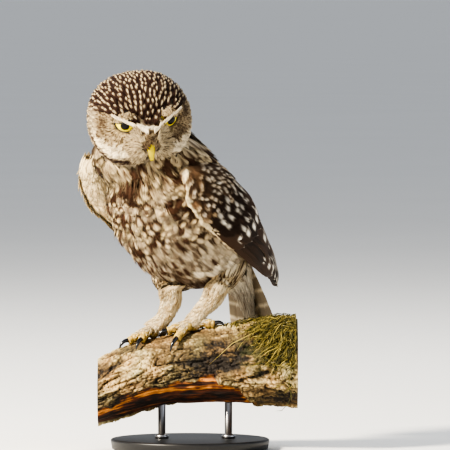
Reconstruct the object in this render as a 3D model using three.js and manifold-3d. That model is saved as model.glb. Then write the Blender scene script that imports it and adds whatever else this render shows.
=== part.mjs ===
// A little owl standing on a short length of branch, on a round display base with two rods.
// Life size in millimetres, +Z up. The owl faces -Y, so its own left side is +X.
// The origin is the middle of the base's underside, on the surface that the base stands on.
import * as THREE from "three";
import { mergeVertices } from "three/addons/utils/BufferGeometryUtils.js";
import Module from "manifold-3d";

const wasm = await Module();
wasm.setup();

// Driving dimensions of the bird
const HEAD_WIDTH = 79;
const HEAD_DEPTH = 72;
const HEAD_HEIGHT = 72;
const EYE_RADIUS = 8.6;
const BILL_LENGTH = 20;
const TORSO_WIDTH = 101;
const TORSO_LENGTH = 132;
const TAIL_LENGTH = 78;
const SHANK_RADIUS = 6.4;
const TOE_RADIUS = 2.9;
const CLAW_LENGTH = 10.5;

// Driving dimensions of the perch and its stand
const BRANCH_RADIUS = 29;
const BASE_RADIUS = 62;
const BASE_THICKNESS = 8;
const ROD_RADIUS = 3;

// The clearance that neighbouring pieces keep, and the thinnest part of a vane
const GAP = 0.4;
const VANE_THICKNESS = 0.6;

// Pose: where each body part stands, and how it is turned, in degrees
const TORSO_CENTRE = [-8.6, 1.3, 175];
const TORSO_LEAN = 40;
const HEAD_CENTRE = [-6, -52, 258];
const HEAD_YAW = 58;
const HEAD_NOD = 22;
const HEAD_ROLL = -7;
const BRANCH_TURN = 42;

const degrees = THREE.MathUtils.degToRad;
const lerp = THREE.MathUtils.lerp;
const clamp = THREE.MathUtils.clamp;
const vec = (x, y, z) => new THREE.Vector3(x, y, z);

// Reads a smooth value from a short table of [position, value] rows, with an even slope at each row.
function profile(rows) {
  const slopes = rows.map((row, i) => {
    const a = rows[Math.max(i - 1, 0)];
    const b = rows[Math.min(i + 1, rows.length - 1)];
    return (b[1] - a[1]) / (b[0] - a[0]);
  });
  return (x) => {
    const at = clamp(x, rows[0][0], rows[rows.length - 1][0]);
    const i = clamp(rows.findIndex((row) => row[0] >= at) - 1, 0, rows.length - 2);
    const span = rows[i + 1][0] - rows[i][0];
    const t = (at - rows[i][0]) / span;
    const blend = t * t * (3 - 2 * t);
    const from = rows[i][1] + slopes[i] * span * t;
    const to = rows[i + 1][1] - slopes[i + 1] * span * (1 - t);
    return lerp(from, to, blend);
  };
}

// A seeded draw from 0 to 1, so that every build gives the same owl.
function drawer(seed) {
  let state = seed;
  return () => {
    state = (state * 1664525 + 1013904223) % 4294967296;
    return state / 4294967296;
  };
}

// Turns a closed geometry into a solid whose faces point out.
function solidOf(geometry) {
  const bare = geometry.index ? geometry.toNonIndexed() : geometry.clone();
  for (const name of Object.keys(bare.attributes)) {
    if (name !== "position") bare.deleteAttribute(name);
  }
  const merged = mergeVertices(bare, 1e-4);
  const triVerts = new Uint32Array(merged.index.array);
  const vertProperties = merged.attributes.position.array;
  const made = new wasm.Manifold(new wasm.Mesh({ numProp: 3, vertProperties, triVerts }));
  if (made.volume() > 0) return made;
  for (let i = 0; i < triVerts.length; i += 3) {
    [triVerts[i + 1], triVerts[i + 2]] = [triVerts[i + 2], triVerts[i + 1]];
  }
  return new wasm.Manifold(new wasm.Mesh({ numProp: 3, vertProperties, triVerts }));
}

// Keeps the largest closed surface of a solid, so that a node is one closed body.
function oneBody(solid) {
  const bodies = solid.decompose();
  return bodies.reduce((best, body) => (body.volume() > best.volume() ? body : best));
}

// Joins a list of solids into one.
function join(solids) {
  return solids.reduce((sum, solid) => sum.add(solid));
}

// Skins a row of rings, each with as many points, and closes it with one point at either end.
function skin(rings, first, last) {
  const count = rings[0].length;
  const points = [first, ...rings.flat(), last];
  const index = [];
  for (let j = 0; j < count; j += 1) {
    const next = (j + 1) % count;
    index.push(0, 1 + next, 1 + j);
    for (let i = 0; i + 1 < rings.length; i += 1) {
      const a = 1 + i * count + j;
      const b = 1 + i * count + next;
      index.push(a, b, a + count, b, b + count, a + count);
    }
    const end = 1 + (rings.length - 1) * count;
    index.push(end + j, end + next, points.length - 1);
  }
  const geometry = new THREE.BufferGeometry().setFromPoints(points);
  geometry.setIndex(index);
  return solidOf(geometry);
}

// The axis that lies most square to the line between two points.
function squareAxis(from, to) {
  const line = to.clone().sub(from);
  const axes = [vec(1, 0, 0), vec(0, 1, 0), vec(0, 0, 1)];
  const share = (axis) => Math.abs(line.dot(axis));
  return axes.reduce((best, axis) => (share(axis) < share(best) ? axis : best));
}

// A limb: rings of the given radii round a path of points, with rounded ends.
function limb(path, radii, sides, grow = 0) {
  const curve = new THREE.CatmullRomCurve3(path);
  const steps = radii.length - 1;
  const up = squareAxis(path[0], path[path.length - 1]);
  const rings = radii.map((radius, i) => {
    const middle = curve.getPointAt(i / steps);
    const along = curve.getTangentAt(i / steps);
    const side = vec(0, 0, 0).crossVectors(along, up).normalize();
    const over = vec(0, 0, 0).crossVectors(side, along);
    return Array.from({ length: sides }, (_, k) => {
      const turn = (2 * Math.PI * k) / sides;
      return middle
        .clone()
        .addScaledVector(side, Math.cos(turn) * (radius + grow))
        .addScaledVector(over, Math.sin(turn) * (radius + grow));
    });
  });
  const start = curve.getPointAt(0).addScaledVector(curve.getTangentAt(0), -radii[0] * 0.5 - grow);
  const end = curve.getPointAt(1).addScaledVector(curve.getTangentAt(1), radii[steps] * 0.5 + grow);
  return skin(rings, start, end);
}

// A feather vane: a thin blade along a path that gives, for a share of its length, its middle,
// the direction across it and its outward normal. The blade tilts about its own length, so that
// each vane lies over the next one, and the tilt grows to the tips, where the vanes crowd.
const vaneOutline = profile([[0, 0.55], [0.3, 0.88], [0.65, 1], [0.88, 0.8], [1, 0.34]]);
function vane(path, { width, tilt, rows = 4 }) {
  const rings = Array.from({ length: rows }, (_, i) => {
    const t = 1 - (1 - i / (rows - 1)) ** 1.4;
    const { middle, across, normal } = path(t);
    const axis = vec(0, 0, 0).crossVectors(across, normal);
    const side = across.clone().applyAxisAngle(axis, lerp(...tilt, t));
    const out = normal.clone().applyAxisAngle(axis, lerp(...tilt, t));
    const half = (width / 2) * vaneOutline(t);
    const thick = VANE_THICKNESS / 2;
    const corner = (x, z) => middle.clone().addScaledVector(side, x).addScaledVector(out, z);
    return [corner(-half, -thick), corner(half, -thick), corner(half, thick), corner(-half, thick)];
  });
  return skin(rings, path(0).middle, path(1).middle);
}

const owl = new THREE.Group();
const torsoFrame = new THREE.Group();
torsoFrame.position.set(...TORSO_CENTRE);
torsoFrame.rotation.x = degrees(TORSO_LEAN);
const headFrame = new THREE.Group();
headFrame.position.set(...HEAD_CENTRE);
headFrame.rotation.set(degrees(HEAD_NOD), degrees(HEAD_ROLL), degrees(HEAD_YAW), "ZXY");
const perchFrame = new THREE.Group();
perchFrame.rotation.z = degrees(BRANCH_TURN);
owl.add(torsoFrame, headFrame, perchFrame);
owl.updateMatrixWorld(true);

// Moves a solid from a group's own frame to the frame of the whole part, and back.
const toWorld = (solid, group) => solid.transform(group.matrixWorld.toArray());
const fromWorld = (solid, group) => solid.transform(group.matrixWorld.clone().invert().toArray());

// Adds one named sub-part to a group, from its solid in the frame of the whole part.
function place(group, name, solid, material) {
  const mesh = fromWorld(oneBody(solid), group).getMesh();
  const points = new Float32Array(mesh.numVert * 3);
  for (let i = 0; i < mesh.numVert; i += 1) {
    const from = i * mesh.numProp;
    points.set(mesh.vertProperties.subarray(from, from + 3), i * 3);
  }
  const geometry = new THREE.BufferGeometry();
  geometry.setAttribute("position", new THREE.BufferAttribute(points, 3));
  geometry.setIndex(new THREE.BufferAttribute(mesh.triVerts, 1));
  geometry.computeVertexNormals();
  const made = new THREE.Mesh(geometry, material);
  made.name = name;
  group.add(made);
}

const finish = (color, roughness, metalness = 0) =>
  new THREE.MeshStandardMaterial({ color, roughness, metalness });
const materials = {
  head: finish(0x6b523b, 0.85),
  breast: finish(0xb29a78, 0.9),
  wing: finish(0x4b3626, 0.8),
  tail: finish(0x6d543c, 0.8),
  leg: finish(0xd9cbb2, 0.9),
  toe: finish(0xb79a4a, 0.7),
  claw: finish(0x24242a, 0.35),
  eye: finish(0xe0c21a, 0.08),
  bill: finish(0xd8b21c, 0.4),
  bark: finish(0x8a6a4d, 0.95),
  base: finish(0x2c2a28, 0.4),
  rod: finish(0x9b9b98, 0.3, 1),
};

// Torso: egg-shaped rings along its own Z axis, which runs from the vent to the neck.
const torsoSide = profile([
  [-1, 0.22],
  [-0.8, 0.56],
  [-0.45, 0.86],
  [0, 1],
  [0.45, 0.97],
  [0.8, 0.8],
  [1, 0.52],
]);
const torsoBack = profile([[-1, 12], [-0.8, 26], [-0.45, 36], [0, 41], [0.45, 40], [0.8, 33], [1, 22]]);
const torsoFront = profile([[-1, 9], [-0.8, 24], [-0.45, 38], [0, 45], [0.45, 45], [0.8, 36], [1, 22]]);
const torsoShift = profile([[-1, 15], [-0.8, 9], [-0.45, 2], [0, 0], [0.8, -1], [1, -3]]);

function torsoRing(s, sides, grow) {
  return Array.from({ length: sides }, (_, k) => {
    const turn = (2 * Math.PI * k) / sides;
    const depth = Math.cos(turn) > 0 ? torsoBack(s) : torsoFront(s);
    const x = Math.sin(turn) * ((torsoSide(s) * TORSO_WIDTH) / 2 + grow);
    const y = torsoShift(s) + Math.cos(turn) * (depth + grow);
    return vec(x, y, (s * TORSO_LENGTH) / 2);
  });
}

function torsoSolid(grow = 0) {
  const rows = 13;
  const rings = Array.from({ length: rows }, (_, i) => torsoRing(lerp(-1, 1, i / (rows - 1)), 26, grow));
  const half = TORSO_LENGTH / 2 + 4 + grow;
  return toWorld(skin(rings, vec(0, torsoShift(-1), -half), vec(0, torsoShift(1), half)), torsoFrame);
}

// Head: a wide ball with a flat face, two hollow face discs, a brow over each eye and full cheeks.
const EYE_SIDE = 15.6;
const EYE_FORWARD = 22;
const EYE_UP = 10.6;
const EYE_TURN = 20;
const EYE_DIP = 0.15;
const eyeCentre = (side) => vec(side * EYE_SIDE, -EYE_FORWARD, EYE_UP);
function gazeOf(side) {
  const turn = degrees(EYE_TURN);
  return vec(side * Math.sin(turn), -Math.cos(turn), -EYE_DIP).normalize();
}


// The distance of a direction from a short arc between two directions, as an angle.
function angleToArc(direction, from, to) {
  let nearest = Math.PI;
  for (let i = 0; i <= 8; i += 1) {
    const on = from.clone().lerp(to, i / 8).normalize();
    nearest = Math.min(nearest, direction.angleTo(on));
  }
  return nearest;
}

const bump = (distance, width) => Math.exp(-((distance / width) ** 2));

function headRadius(direction, grow) {
  const power = 2.3;
  const depth = direction.y < 0 ? HEAD_DEPTH * 0.47 : HEAD_DEPTH * 0.53;
  const sum =
    Math.abs(direction.x / (HEAD_WIDTH / 2)) ** power +
    Math.abs(direction.y / depth) ** power +
    Math.abs(direction.z / (HEAD_HEIGHT / 2)) ** power;
  let radius = sum ** (-1 / power);
  for (const side of [-1, 1]) {
    const eye = eyeCentre(side).addScaledVector(gazeOf(side), 5).normalize();
    const toEye = direction.angleTo(eye);
    radius -= 4.2 * bump(toEye, 0.42);
    radius += 1.8 * bump(toEye - 0.72, 0.16) * clamp(0.6 - direction.z, 0, 1);
    const inner = vec(side * 3, -33, 6).normalize();
    const outer = vec(side * 25, -26, 17).normalize();
    radius += 4.6 * bump(angleToArc(direction, inner, outer), 0.17);
    radius += 2.2 * bump(direction.angleTo(vec(side * 20, -24, -18).normalize()), 0.3);
  }
  radius += 3.4 * bump(direction.angleTo(vec(0, -32, -5).normalize()), 0.24);
  return radius + grow;
}

function headBall(grow = 0) {
  const ball = new THREE.IcosahedronGeometry(1, 7);
  const points = ball.attributes.position;
  for (let i = 0; i < points.count; i += 1) {
    const direction = vec(points.getX(i), points.getY(i), points.getZ(i)).normalize();
    const at = direction.clone().multiplyScalar(headRadius(direction, grow));
    points.setXYZ(i, at.x, at.y, at.z);
  }
  return solidOf(ball);
}

const ball = (radius, detail, centre) => {
  const geometry = new THREE.IcosahedronGeometry(radius, detail);
  geometry.translate(centre.x, centre.y, centre.z);
  return solidOf(geometry);
};

// Eyelids: a cap round the eyeball, open in front over a wide, low gap whose top is straight.
const LID_THICKNESS = 1.3;
function eyelid(side) {
  const centre = eyeCentre(side);
  const cap = ball(EYE_RADIUS + LID_THICKNESS, 3, centre);
  const gaze = gazeOf(side);
  const across = vec(0, 0, 0).crossVectors(gaze, vec(0, 0, 1)).normalize();
  const over = vec(0, 0, 0).crossVectors(across, gaze).normalize();
  const opening = Array.from({ length: 12 }, (_, k) => {
    const turn = (2 * Math.PI * k) / 12;
    const rise = Math.sin(turn) > 0 ? 0.42 : 1.1;
    return [Math.cos(turn) * 1.2, Math.sin(turn) * rise];
  });
  const ringAt = (distance) =>
    opening.map(([x, z]) =>
      centre
        .clone()
        .addScaledVector(gaze, distance)
        .addScaledVector(across, x * distance)
        .addScaledVector(over, z * distance),
    );
  const far = centre.clone().addScaledVector(gaze, 18);
  return cap.subtract(skin([ringAt(1), ringAt(18)], centre, far));
}

// Bill: a hooked upper half and a shorter lower half, with the line of the mouth between them.
const BILL_ROOT = vec(0, -27, -4);
function billHalf(upper, grow) {
  const reach = upper ? BILL_LENGTH : BILL_LENGTH * 0.62;
  const rows = 6;
  const rings = Array.from({ length: rows }, (_, i) => {
    const t = i / (rows - 1);
    const bend = t * t * reach * (upper ? 0.75 : 0.45);
    const size = Math.sqrt(1 - t * 0.94);
    const middle = vec(0, BILL_ROOT.y - reach * 0.62 * Math.sin((t * Math.PI) / 2), BILL_ROOT.z - bend);
    const wide = (upper ? 4.6 : 3.4) * size + grow;
    const high = (upper ? 4.6 : 2.2) * size + grow;
    const low = upper ? -1.6 * size - grow : -high;
    return Array.from({ length: 10 }, (_, k) => {
      const turn = (2 * Math.PI * k) / 10;
      const rise = Math.sin(turn) > 0 ? Math.sin(turn) * high : -Math.sin(turn) * low;
      const drop = upper ? 0 : -4.6;
      return middle.clone().add(vec(Math.cos(turn) * wide, 0, rise + drop));
    });
  });
  const first = rings[0].reduce((sum, p) => sum.add(p), vec(0, 0, 0)).multiplyScalar(0.1);
  const last = rings[rows - 1].reduce((sum, p) => sum.add(p), vec(0, 0, 0)).multiplyScalar(0.1);
  return skin(rings, first.add(vec(0, 1, 0)), last.add(vec(0, 0, -0.6)));
}

const NOSTRIL_RADIUS = 0.8;
const nostril = (side) => {
  const pit = new THREE.CylinderGeometry(NOSTRIL_RADIUS, NOSTRIL_RADIUS, 3, 8);
  pit.rotateZ(Math.PI / 2);
  pit.translate(side * 4.2, BILL_ROOT.y - 5.5, BILL_ROOT.z + 1.6);
  return solidOf(pit);
};

// Mantle: the smooth surface that both folded wings lie on, from the shoulders to the wing tips.
// Its rings are ovals round a centre line in the middle plane, in the torso's frame.
const mantleHeight = profile([
  [0, 62], [0.15, 43], [0.35, 10], [0.55, -25],
  [0.75, -60], [0.9, -86], [1, -104],
]);
const mantleBack = profile([
  [0, -8], [0.15, -4], [0.35, 2], [0.55, 10],
  [0.75, 22], [0.9, 32], [1, 38],
]);
const mantleSide = profile([
  [0, 42], [0.15, 52], [0.35, 56], [0.55, 50],
  [0.75, 36], [0.9, 22], [1, 12],
]);
const mantleDepth = profile([
  [0, 28], [0.15, 40], [0.35, 44], [0.55, 38],
  [0.75, 26], [0.9, 15], [1, 8],
]);
const mantleTop = profile([[0, 48], [0.1, 24], [0.3, 11], [0.6, 7], [1, 5]]);
const mantleLow = profile([
  [0, 80], [0.08, 106], [0.2, 117], [0.4, 116],
  [0.6, 108], [0.8, 96], [1, 80],
]);

// A point on the folded wing: l from the wrist to the tip, v from the upper to the lower edge,
// and h above the surface. Beyond the tables' ends the surface runs straight on.
function wingPoint(l, v, h) {
  const turn = degrees(lerp(mantleTop(l), mantleLow(l), v));
  const side = mantleSide(l) + h;
  const depth = mantleDepth(l) + h;
  return vec(side * Math.sin(turn), mantleBack(l) + depth * Math.cos(turn), mantleHeight(l));
}

function wingPath({ l, v, h }) {
  return (t) => {
    const ease = t * (2 - t);
    const at = (dl, dv) => wingPoint(lerp(...l, t) + dl, lerp(...v, ease) + dv, lerp(...h, t));
    const middle = at(0, 0);
    const across = at(0, 0.02).sub(middle).normalize();
    const along = at(0.01, 0).sub(middle).normalize();
    const normal = vec(0, 0, 0).crossVectors(across, along).normalize();
    if (normal.x < 0) normal.negate();
    return { middle, across, normal };
  };
}

// The arm and hand under the feathers: a thick leading part that thins towards the flight feathers.
function wingArm(padding) {
  const thickness = profile([[0, 5], [0.06, 11], [0.2, 10], [0.4, 7], [0.52, 3]]);
  const rows = [0.005, 0.03, 0.08, 0.15, 0.25, 0.38, 0.52];
  const rings = rows.map((l, i) => {
    const inset = i === 0 ? 0.25 : 0;
    const outer = Array.from({ length: 8 }, (_, k) => {
      return wingPoint(l, lerp(inset, 1 - inset, k / 7), -0.6);
    });
    const inner = Array.from({ length: 6 }, (_, k) => {
      const v = lerp(0.96 - inset, 0.04 + inset, k / 5);
      return wingPoint(l, v, -0.6 - thickness(l) - padding);
    });
    return [...outer, ...inner];
  });
  const middleOf = (ring) => ring.reduce((sum, p) => sum.add(p), vec(0, 0, 0)).divideScalar(ring.length);
  const first = middleOf(rings[0].map((p) => p.clone())).add(vec(0, 0, 4));
  const last = middleOf(rings[rows.length - 1].map((p) => p.clone()));
  return skin(rings, first, last);
}

// Tiers of vanes on the folded wing, each from its lowest vane to its highest.
// l is where the vanes start and end along the wing, v where they lie across it.
const WING_TIERS = {
  primaries: {
    root: 0.42,
    tips: [0.88, 0.97, 1, 0.97, 0.91],
    v: { roots: [0.93, 0.56], tips: [0.93, 0.4] },
    h: [-1, 0],
    width: 16,
  },
  secondaries: {
    root: 0.38,
    tips: [0.83, 0.81, 0.78, 0.74, 0.7],
    v: { roots: [0.64, 0.08], tips: [0.58, 0.1] },
    h: [-0.6, 1.6],
    width: 20,
  },
  greatCoverts: {
    root: 0.27,
    tips: [0.53, 0.54, 0.53, 0.5],
    v: { roots: [0.86, 0.16], tips: [0.88, 0.13] },
    h: [-0.8, 3],
    width: 25,
  },
  middleCoverts: {
    root: 0.15,
    tips: [0.36, 0.38, 0.38, 0.36],
    v: { roots: [0.84, 0.18], tips: [0.86, 0.15] },
    h: [-1, 3.6],
    width: 25,
  },
  smallCoverts: {
    root: 0.06,
    tips: [0.22, 0.24, 0.22],
    v: { roots: [0.8, 0.28], tips: [0.83, 0.22] },
    h: [-1.4, 3.2],
    width: 27,
  },
};
const VANE_TILT = [7, 14].map(degrees);

// A wing that is held loose is lifted towards the head, and its wrist stands out from the body.
const WING_HOLD = {
  left: { side: 1, seed: 11, outward: 0, lift: 0, padding: 0 },
  right: { side: -1, seed: 23, outward: 6, lift: 14, padding: 7 },
};

function wingSolid({ side, seed, outward, lift, padding }) {
  const draw = drawer(seed);
  const pieces = [wingArm(padding)];
  for (const tier of Object.values(WING_TIERS)) {
    const last = tier.tips.length - 1;
    tier.tips.forEach((tip, i) => {
      const path = wingPath({
        l: [tier.root, tip + (draw() - 0.5) * 0.014],
        v: [lerp(...tier.v.roots, i / last), lerp(...tier.v.tips, i / last)],
        h: tier.h,
      });
      pieces.push(vane(path, { width: tier.width * lerp(0.94, 1.06, draw()), tilt: VANE_TILT }));
    });
  }
  const tip = wingPoint(1, 0.5, 0);
  const held = new THREE.Matrix4()
    .makeTranslation(tip.clone().add(vec(0, 0, lift)))
    .multiply(new THREE.Matrix4().makeRotationY(degrees(outward)))
    .multiply(new THREE.Matrix4().makeTranslation(tip.clone().negate()));
  const solid = join(pieces).transform(held.toArray());
  return side > 0 ? solid : solid.mirror([1, 0, 0]);
}

// Tail: overlapping vanes in a narrow fan, the middle pair on top, with a fluffy root below.
const TAIL_ROOT = vec(0, 37, -58);
const TAIL_DROP = 19;
const TAIL_FEATHERS = 10;
function tailPath(index) {
  const fan = degrees(index * 2.6);
  const down = degrees(TAIL_DROP);
  const along = vec(Math.sin(fan), -Math.sin(down) * Math.cos(fan), -Math.cos(down) * Math.cos(fan));
  const across = vec(Math.cos(fan), 0, Math.sin(fan));
  const normal = vec(0, Math.cos(down), -Math.sin(down));
  const reach = TAIL_LENGTH + 12 - 0.35 * index * index;
  return (t) => ({
    middle: TAIL_ROOT.clone()
      .addScaledVector(vec(1, 0, 0), index * 1.1)
      .addScaledVector(along, reach * t)
      .addScaledVector(normal, -Math.abs(index) * 0.8),
    across,
    normal,
  });
}

function tailSolid() {
  const vanes = Array.from({ length: TAIL_FEATHERS }, (_, i) => {
    const index = i - (TAIL_FEATHERS - 1) / 2;
    return vane(tailPath(index), { width: 14, tilt: Array(2).fill(degrees(index > 0 ? -7 : 7)) });
  });
  const root = limb(
    [vec(0, 16, -46), vec(0, 21, -68), vec(0, 18, -90), vec(0, 11, -110)],
    [17, 16, 14, 11, 8, 5, 3],
    12,
  );
  return join([root, ...vanes]);
}

// Neck: a short, full collar of feathers between the torso and the head, wider than it is deep.
// Its rows give the middle of each ring and its half width and half depth.
const NECK_TURN = 48;
const NECK_RINGS = [
  { middle: [-9, -14, 200], wide: 42, deep: 30 },
  { middle: [-8, -23, 211], wide: 47, deep: 33 },
  { middle: [-8, -30, 221], wide: 49, deep: 34 },
  { middle: [-8, -34, 229], wide: 48, deep: 34 },
  { middle: [-8, -41, 240], wide: 42, deep: 31 },
  { middle: [-7, -46, 250], wide: 35, deep: 27 },
];

function neckSolid(grow = 0) {
  const turned = degrees(NECK_TURN);
  const rings = NECK_RINGS.map(({ middle, wide, deep }) =>
    Array.from({ length: 24 }, (_, k) => {
      const turn = (2 * Math.PI * k) / 24;
      const across = Math.cos(turn) * (wide + grow);
      const back = Math.sin(turn) * (deep + grow);
      return vec(...middle).add(vec(across, back, 0).applyAxisAngle(vec(0, 0, 1), turned));
    }),
  );
  const first = vec(...NECK_RINGS[0].middle).add(vec(0, 0, -4 - grow));
  const last = vec(...NECK_RINGS[NECK_RINGS.length - 1].middle).add(vec(0, 0, 4 + grow));
  return skin(rings, first, last);
}

// Branch: rings round a bent centre line in its own frame, whose X axis runs along the branch.
const branchRise = profile([[-74, 43], [-47, 53], [-23, 60], [0, 64], [27, 65.5], [55, 66], [86, 66]]);
const branchSize = profile([
  [-74, 0.86], [-47, 0.97], [-23, 0.98], [0, 1],
  [27, 1.05], [55, 1.14], [86, 1.2],
]);
const BRANCH_ENDS = [-72, 84];

function barkRelief(x, turn) {
  const ridges = Math.sin(turn * 9 + x * 0.05) * Math.sin(x * 0.11 + turn * 2);
  const lumps = Math.sin(turn * 3 + x * 0.045 + 1) + Math.sin(turn * 2 - x * 0.06);
  return 0.7 * ridges + 0.8 * lumps;
}

function branchSolid(grow = 0) {
  const rows = 18;
  const sides = 26;
  const rings = Array.from({ length: rows }, (_, i) => {
    const x = lerp(BRANCH_ENDS[0] - grow, BRANCH_ENDS[1] + grow, i / (rows - 1));
    return Array.from({ length: sides }, (_, k) => {
      const turn = (2 * Math.PI * k) / sides;
      const radius = BRANCH_RADIUS * branchSize(x) + barkRelief(x, turn) + grow;
      return vec(x, Math.cos(turn) * radius, branchRise(x) + Math.sin(turn) * radius);
    });
  });
  const first = vec(BRANCH_ENDS[0] - grow, 0, branchRise(BRANCH_ENDS[0]));
  const last = vec(BRANCH_ENDS[1] + grow, 0, branchRise(BRANCH_ENDS[1]));
  return toWorld(skin(rings, first, last), perchFrame);
}

// A point above the bark at a place in the branch's own frame, lifted square to the bark.
function barkPoint(x, y, lift) {
  const radius = BRANCH_RADIUS * branchSize(x);
  const lean = Math.asin(clamp(y / radius, -0.95, 0.95));
  const out = radius + lift;
  return perchFrame.localToWorld(vec(x, Math.sin(lean) * out, branchRise(x) + Math.cos(lean) * out));
}

// Legs, in the perch's frame: x along the branch, y across it, away from the camera.
// Each toe has its heading, in degrees from the branch's own X axis, and its length.
const LEGS = {
  left: {
    foot: [3, -4],
    shank: [[21, -7, 125.5], [16, -6, 116], [8, -5, 107]],
    hip: vec(19, 0, -36),
    knee: vec(3, 0, 0),
    toes: [
      { name: "inner", heading: 191, reach: 21 },
      { name: "middle", heading: 228, reach: 20 },
      { name: "outer", heading: 348, reach: 17 },
      { name: "hind", heading: 70, reach: 13 },
    ],
  },
  right: {
    foot: [-29, 3],
    shank: [[-15.5, 2, 124], [-15.5, 2, 113], [-21, 3, 101]],
    hip: vec(-18, -3, -36),
    knee: vec(-4, -3, 0),
    toes: [
      { name: "inner", heading: 238, reach: 17 },
      { name: "middle", heading: 198, reach: 20 },
      { name: "outer", heading: 142, reach: 18 },
      { name: "hind", heading: 50, reach: 13 },
    ],
  },
};

const fromPerch = (x, y, z) => perchFrame.localToWorld(vec(x, y, z));

// The line of one toe over the bark, from the foot to where its claw starts, and the claw's own line,
// which arches up from the toe and down to the bark.
function toeLine(leg, toe) {
  const heading = degrees(toe.heading);
  const over = (reach, lift) => {
    const x = leg.foot[0] + Math.cos(heading) * reach;
    const y = leg.foot[1] + Math.sin(heading) * reach;
    return barkPoint(x, y, lift);
  };
  const lift = TOE_RADIUS + GAP;
  const bones = [0, 0.35, 0.7, 1].map((t) => over(toe.reach * t, lift + 2.6 * (1 - t)));
  const claw = [
    over(toe.reach - 1.5, lift + 0.8),
    over(toe.reach + CLAW_LENGTH * 0.28, lift + 1.8),
    over(toe.reach + CLAW_LENGTH * 0.56, lift + 0.6),
    over(toe.reach + CLAW_LENGTH * 0.72, GAP + 0.9),
  ];
  return { bones, claw };
}

function footSolid(leg, grow = 0) {
  const pad = ball(6 + grow, 2, barkPoint(...leg.foot, 4.5));
  const toes = leg.toes.map((toe) => {
    const r = TOE_RADIUS;
    return limb(toeLine(leg, toe).bones, [r * 1.3, r * 1.1, r * 1.2, r, r * 1.1], 6, grow);
  });
  return join([pad, ...toes]);
}

const clawSolid = (leg, toe) => limb(toeLine(leg, toe).claw, [1.9, 1.75, 1.3, 0.4], 6);

function shankSolid(leg, grow = 0) {
  const path = [...leg.shank.map((p) => fromPerch(...p)), barkPoint(...leg.foot, 7)];
  const r = SHANK_RADIUS;
  return limb(path, [r * 1.38, r * 1.35, r * 1.16, r, r * 0.96, r], 11, grow);
}

function thighSolid(leg, grow = 0) {
  const hip = torsoFrame.localToWorld(leg.hip.clone());
  const heel = fromPerch(...leg.shank[0]);
  const knee = hip.clone().lerp(heel, 0.5).add(leg.knee);
  return limb([hip, knee, heel], [22, 21, 18, 14, 11, 9], 14, grow);
}

// Builds every piece, each cut clear of the ones that it grows from.
const torsoShell = torsoSolid(GAP);
const headShell = toWorld(headBall(GAP), headFrame);

const sides = { left: 1, right: -1 };
const lids = join([eyelid(1), eyelid(-1)]);
const sockets = join([1, -1].map((side) => ball(EYE_RADIUS + GAP, 3, eyeCentre(side))));
const billShell = join([billHalf(true, GAP), billHalf(false, GAP)]);
const head = headBall().add(lids).subtract(sockets).subtract(billShell);
place(headFrame, "head", toWorld(head, headFrame), materials.head);
for (const [name, side] of Object.entries(sides)) {
  const eyeball = toWorld(ball(EYE_RADIUS, 3, eyeCentre(side)), headFrame);
  place(headFrame, `eye_${name}`, eyeball, materials.eye);
}
const upperBill = billHalf(true, 0).subtract(nostril(1)).subtract(nostril(-1));
const lowerBill = billHalf(false, 0).subtract(billHalf(true, GAP));
place(headFrame, "bill_upper", toWorld(upperBill, headFrame), materials.bill);
place(headFrame, "bill_lower", toWorld(lowerBill, headFrame), materials.bill);

const neck = neckSolid().subtract(torsoShell).subtract(headShell);
place(torsoFrame, "neck", neck, materials.breast);
place(torsoFrame, "torso", torsoSolid().subtract(headShell), materials.breast);

const bodyShell = torsoShell.add(neckSolid(GAP)).add(headShell);
for (const [name, hold] of Object.entries(WING_HOLD)) {
  const wing = toWorld(wingSolid(hold), torsoFrame).subtract(bodyShell);
  place(torsoFrame, `wing_${name}`, wing, materials.wing);
}
const thighShells = join(Object.values(LEGS).map((leg) => thighSolid(leg, GAP)));
const tail = toWorld(tailSolid(), torsoFrame).subtract(torsoShell).subtract(thighShells);
place(torsoFrame, "tail", tail, materials.tail);

const branchShell = branchSolid(GAP);
place(perchFrame, "perch_branch", branchSolid(), materials.bark);
for (const [name, leg] of Object.entries(LEGS)) {
  const footShell = footSolid(leg, GAP);
  const shankShell = shankSolid(leg, GAP);
  const foot = footSolid(leg).subtract(branchShell);
  place(owl, `thigh_${name}`, thighSolid(leg).subtract(torsoShell).subtract(shankShell), materials.leg);
  place(owl, `shank_${name}`, shankSolid(leg).subtract(footShell).subtract(branchShell), materials.leg);
  place(owl, `foot_${name}`, foot, materials.toe);
  for (const toe of leg.toes) {
    const claw = clawSolid(leg, toe).subtract(footShell).subtract(branchShell);
    place(owl, `claw_${name}_${toe.name}`, claw, materials.claw);
  }
}

// Stand: a round base with an eased edge, and two rods up to the underside of the branch.
const BASE_EDGE = 1.5;
const baseOutline = [
  [0, 0],
  [BASE_RADIUS - BASE_EDGE, 0],
  [BASE_RADIUS, BASE_EDGE],
  [BASE_RADIUS, BASE_THICKNESS - BASE_EDGE],
  [BASE_RADIUS - BASE_EDGE, BASE_THICKNESS],
  [0, BASE_THICKNESS],
].map(([x, y]) => new THREE.Vector2(x, y));
const baseGeometry = new THREE.LatheGeometry(baseOutline, 40);
baseGeometry.rotateX(Math.PI / 2);
place(perchFrame, "stand_base", solidOf(baseGeometry), materials.base);
[-22, 30].forEach((x, i) => {
  const rod = new THREE.CylinderGeometry(ROD_RADIUS, ROD_RADIUS, 60, 20);
  rod.rotateX(Math.PI / 2);
  rod.translate(x, 0, BASE_THICKNESS + GAP + 30);
  const solid = toWorld(solidOf(rod), perchFrame).subtract(branchShell);
  place(perchFrame, `stand_rod_${i + 1}`, solid, materials.rod);
});

export default owl;
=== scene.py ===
"""A little owl on a mossy branch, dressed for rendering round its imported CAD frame.

Shapes are worked out in millimetres and scaled to metres when each mesh is made.
"""

import itertools
import math

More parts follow.
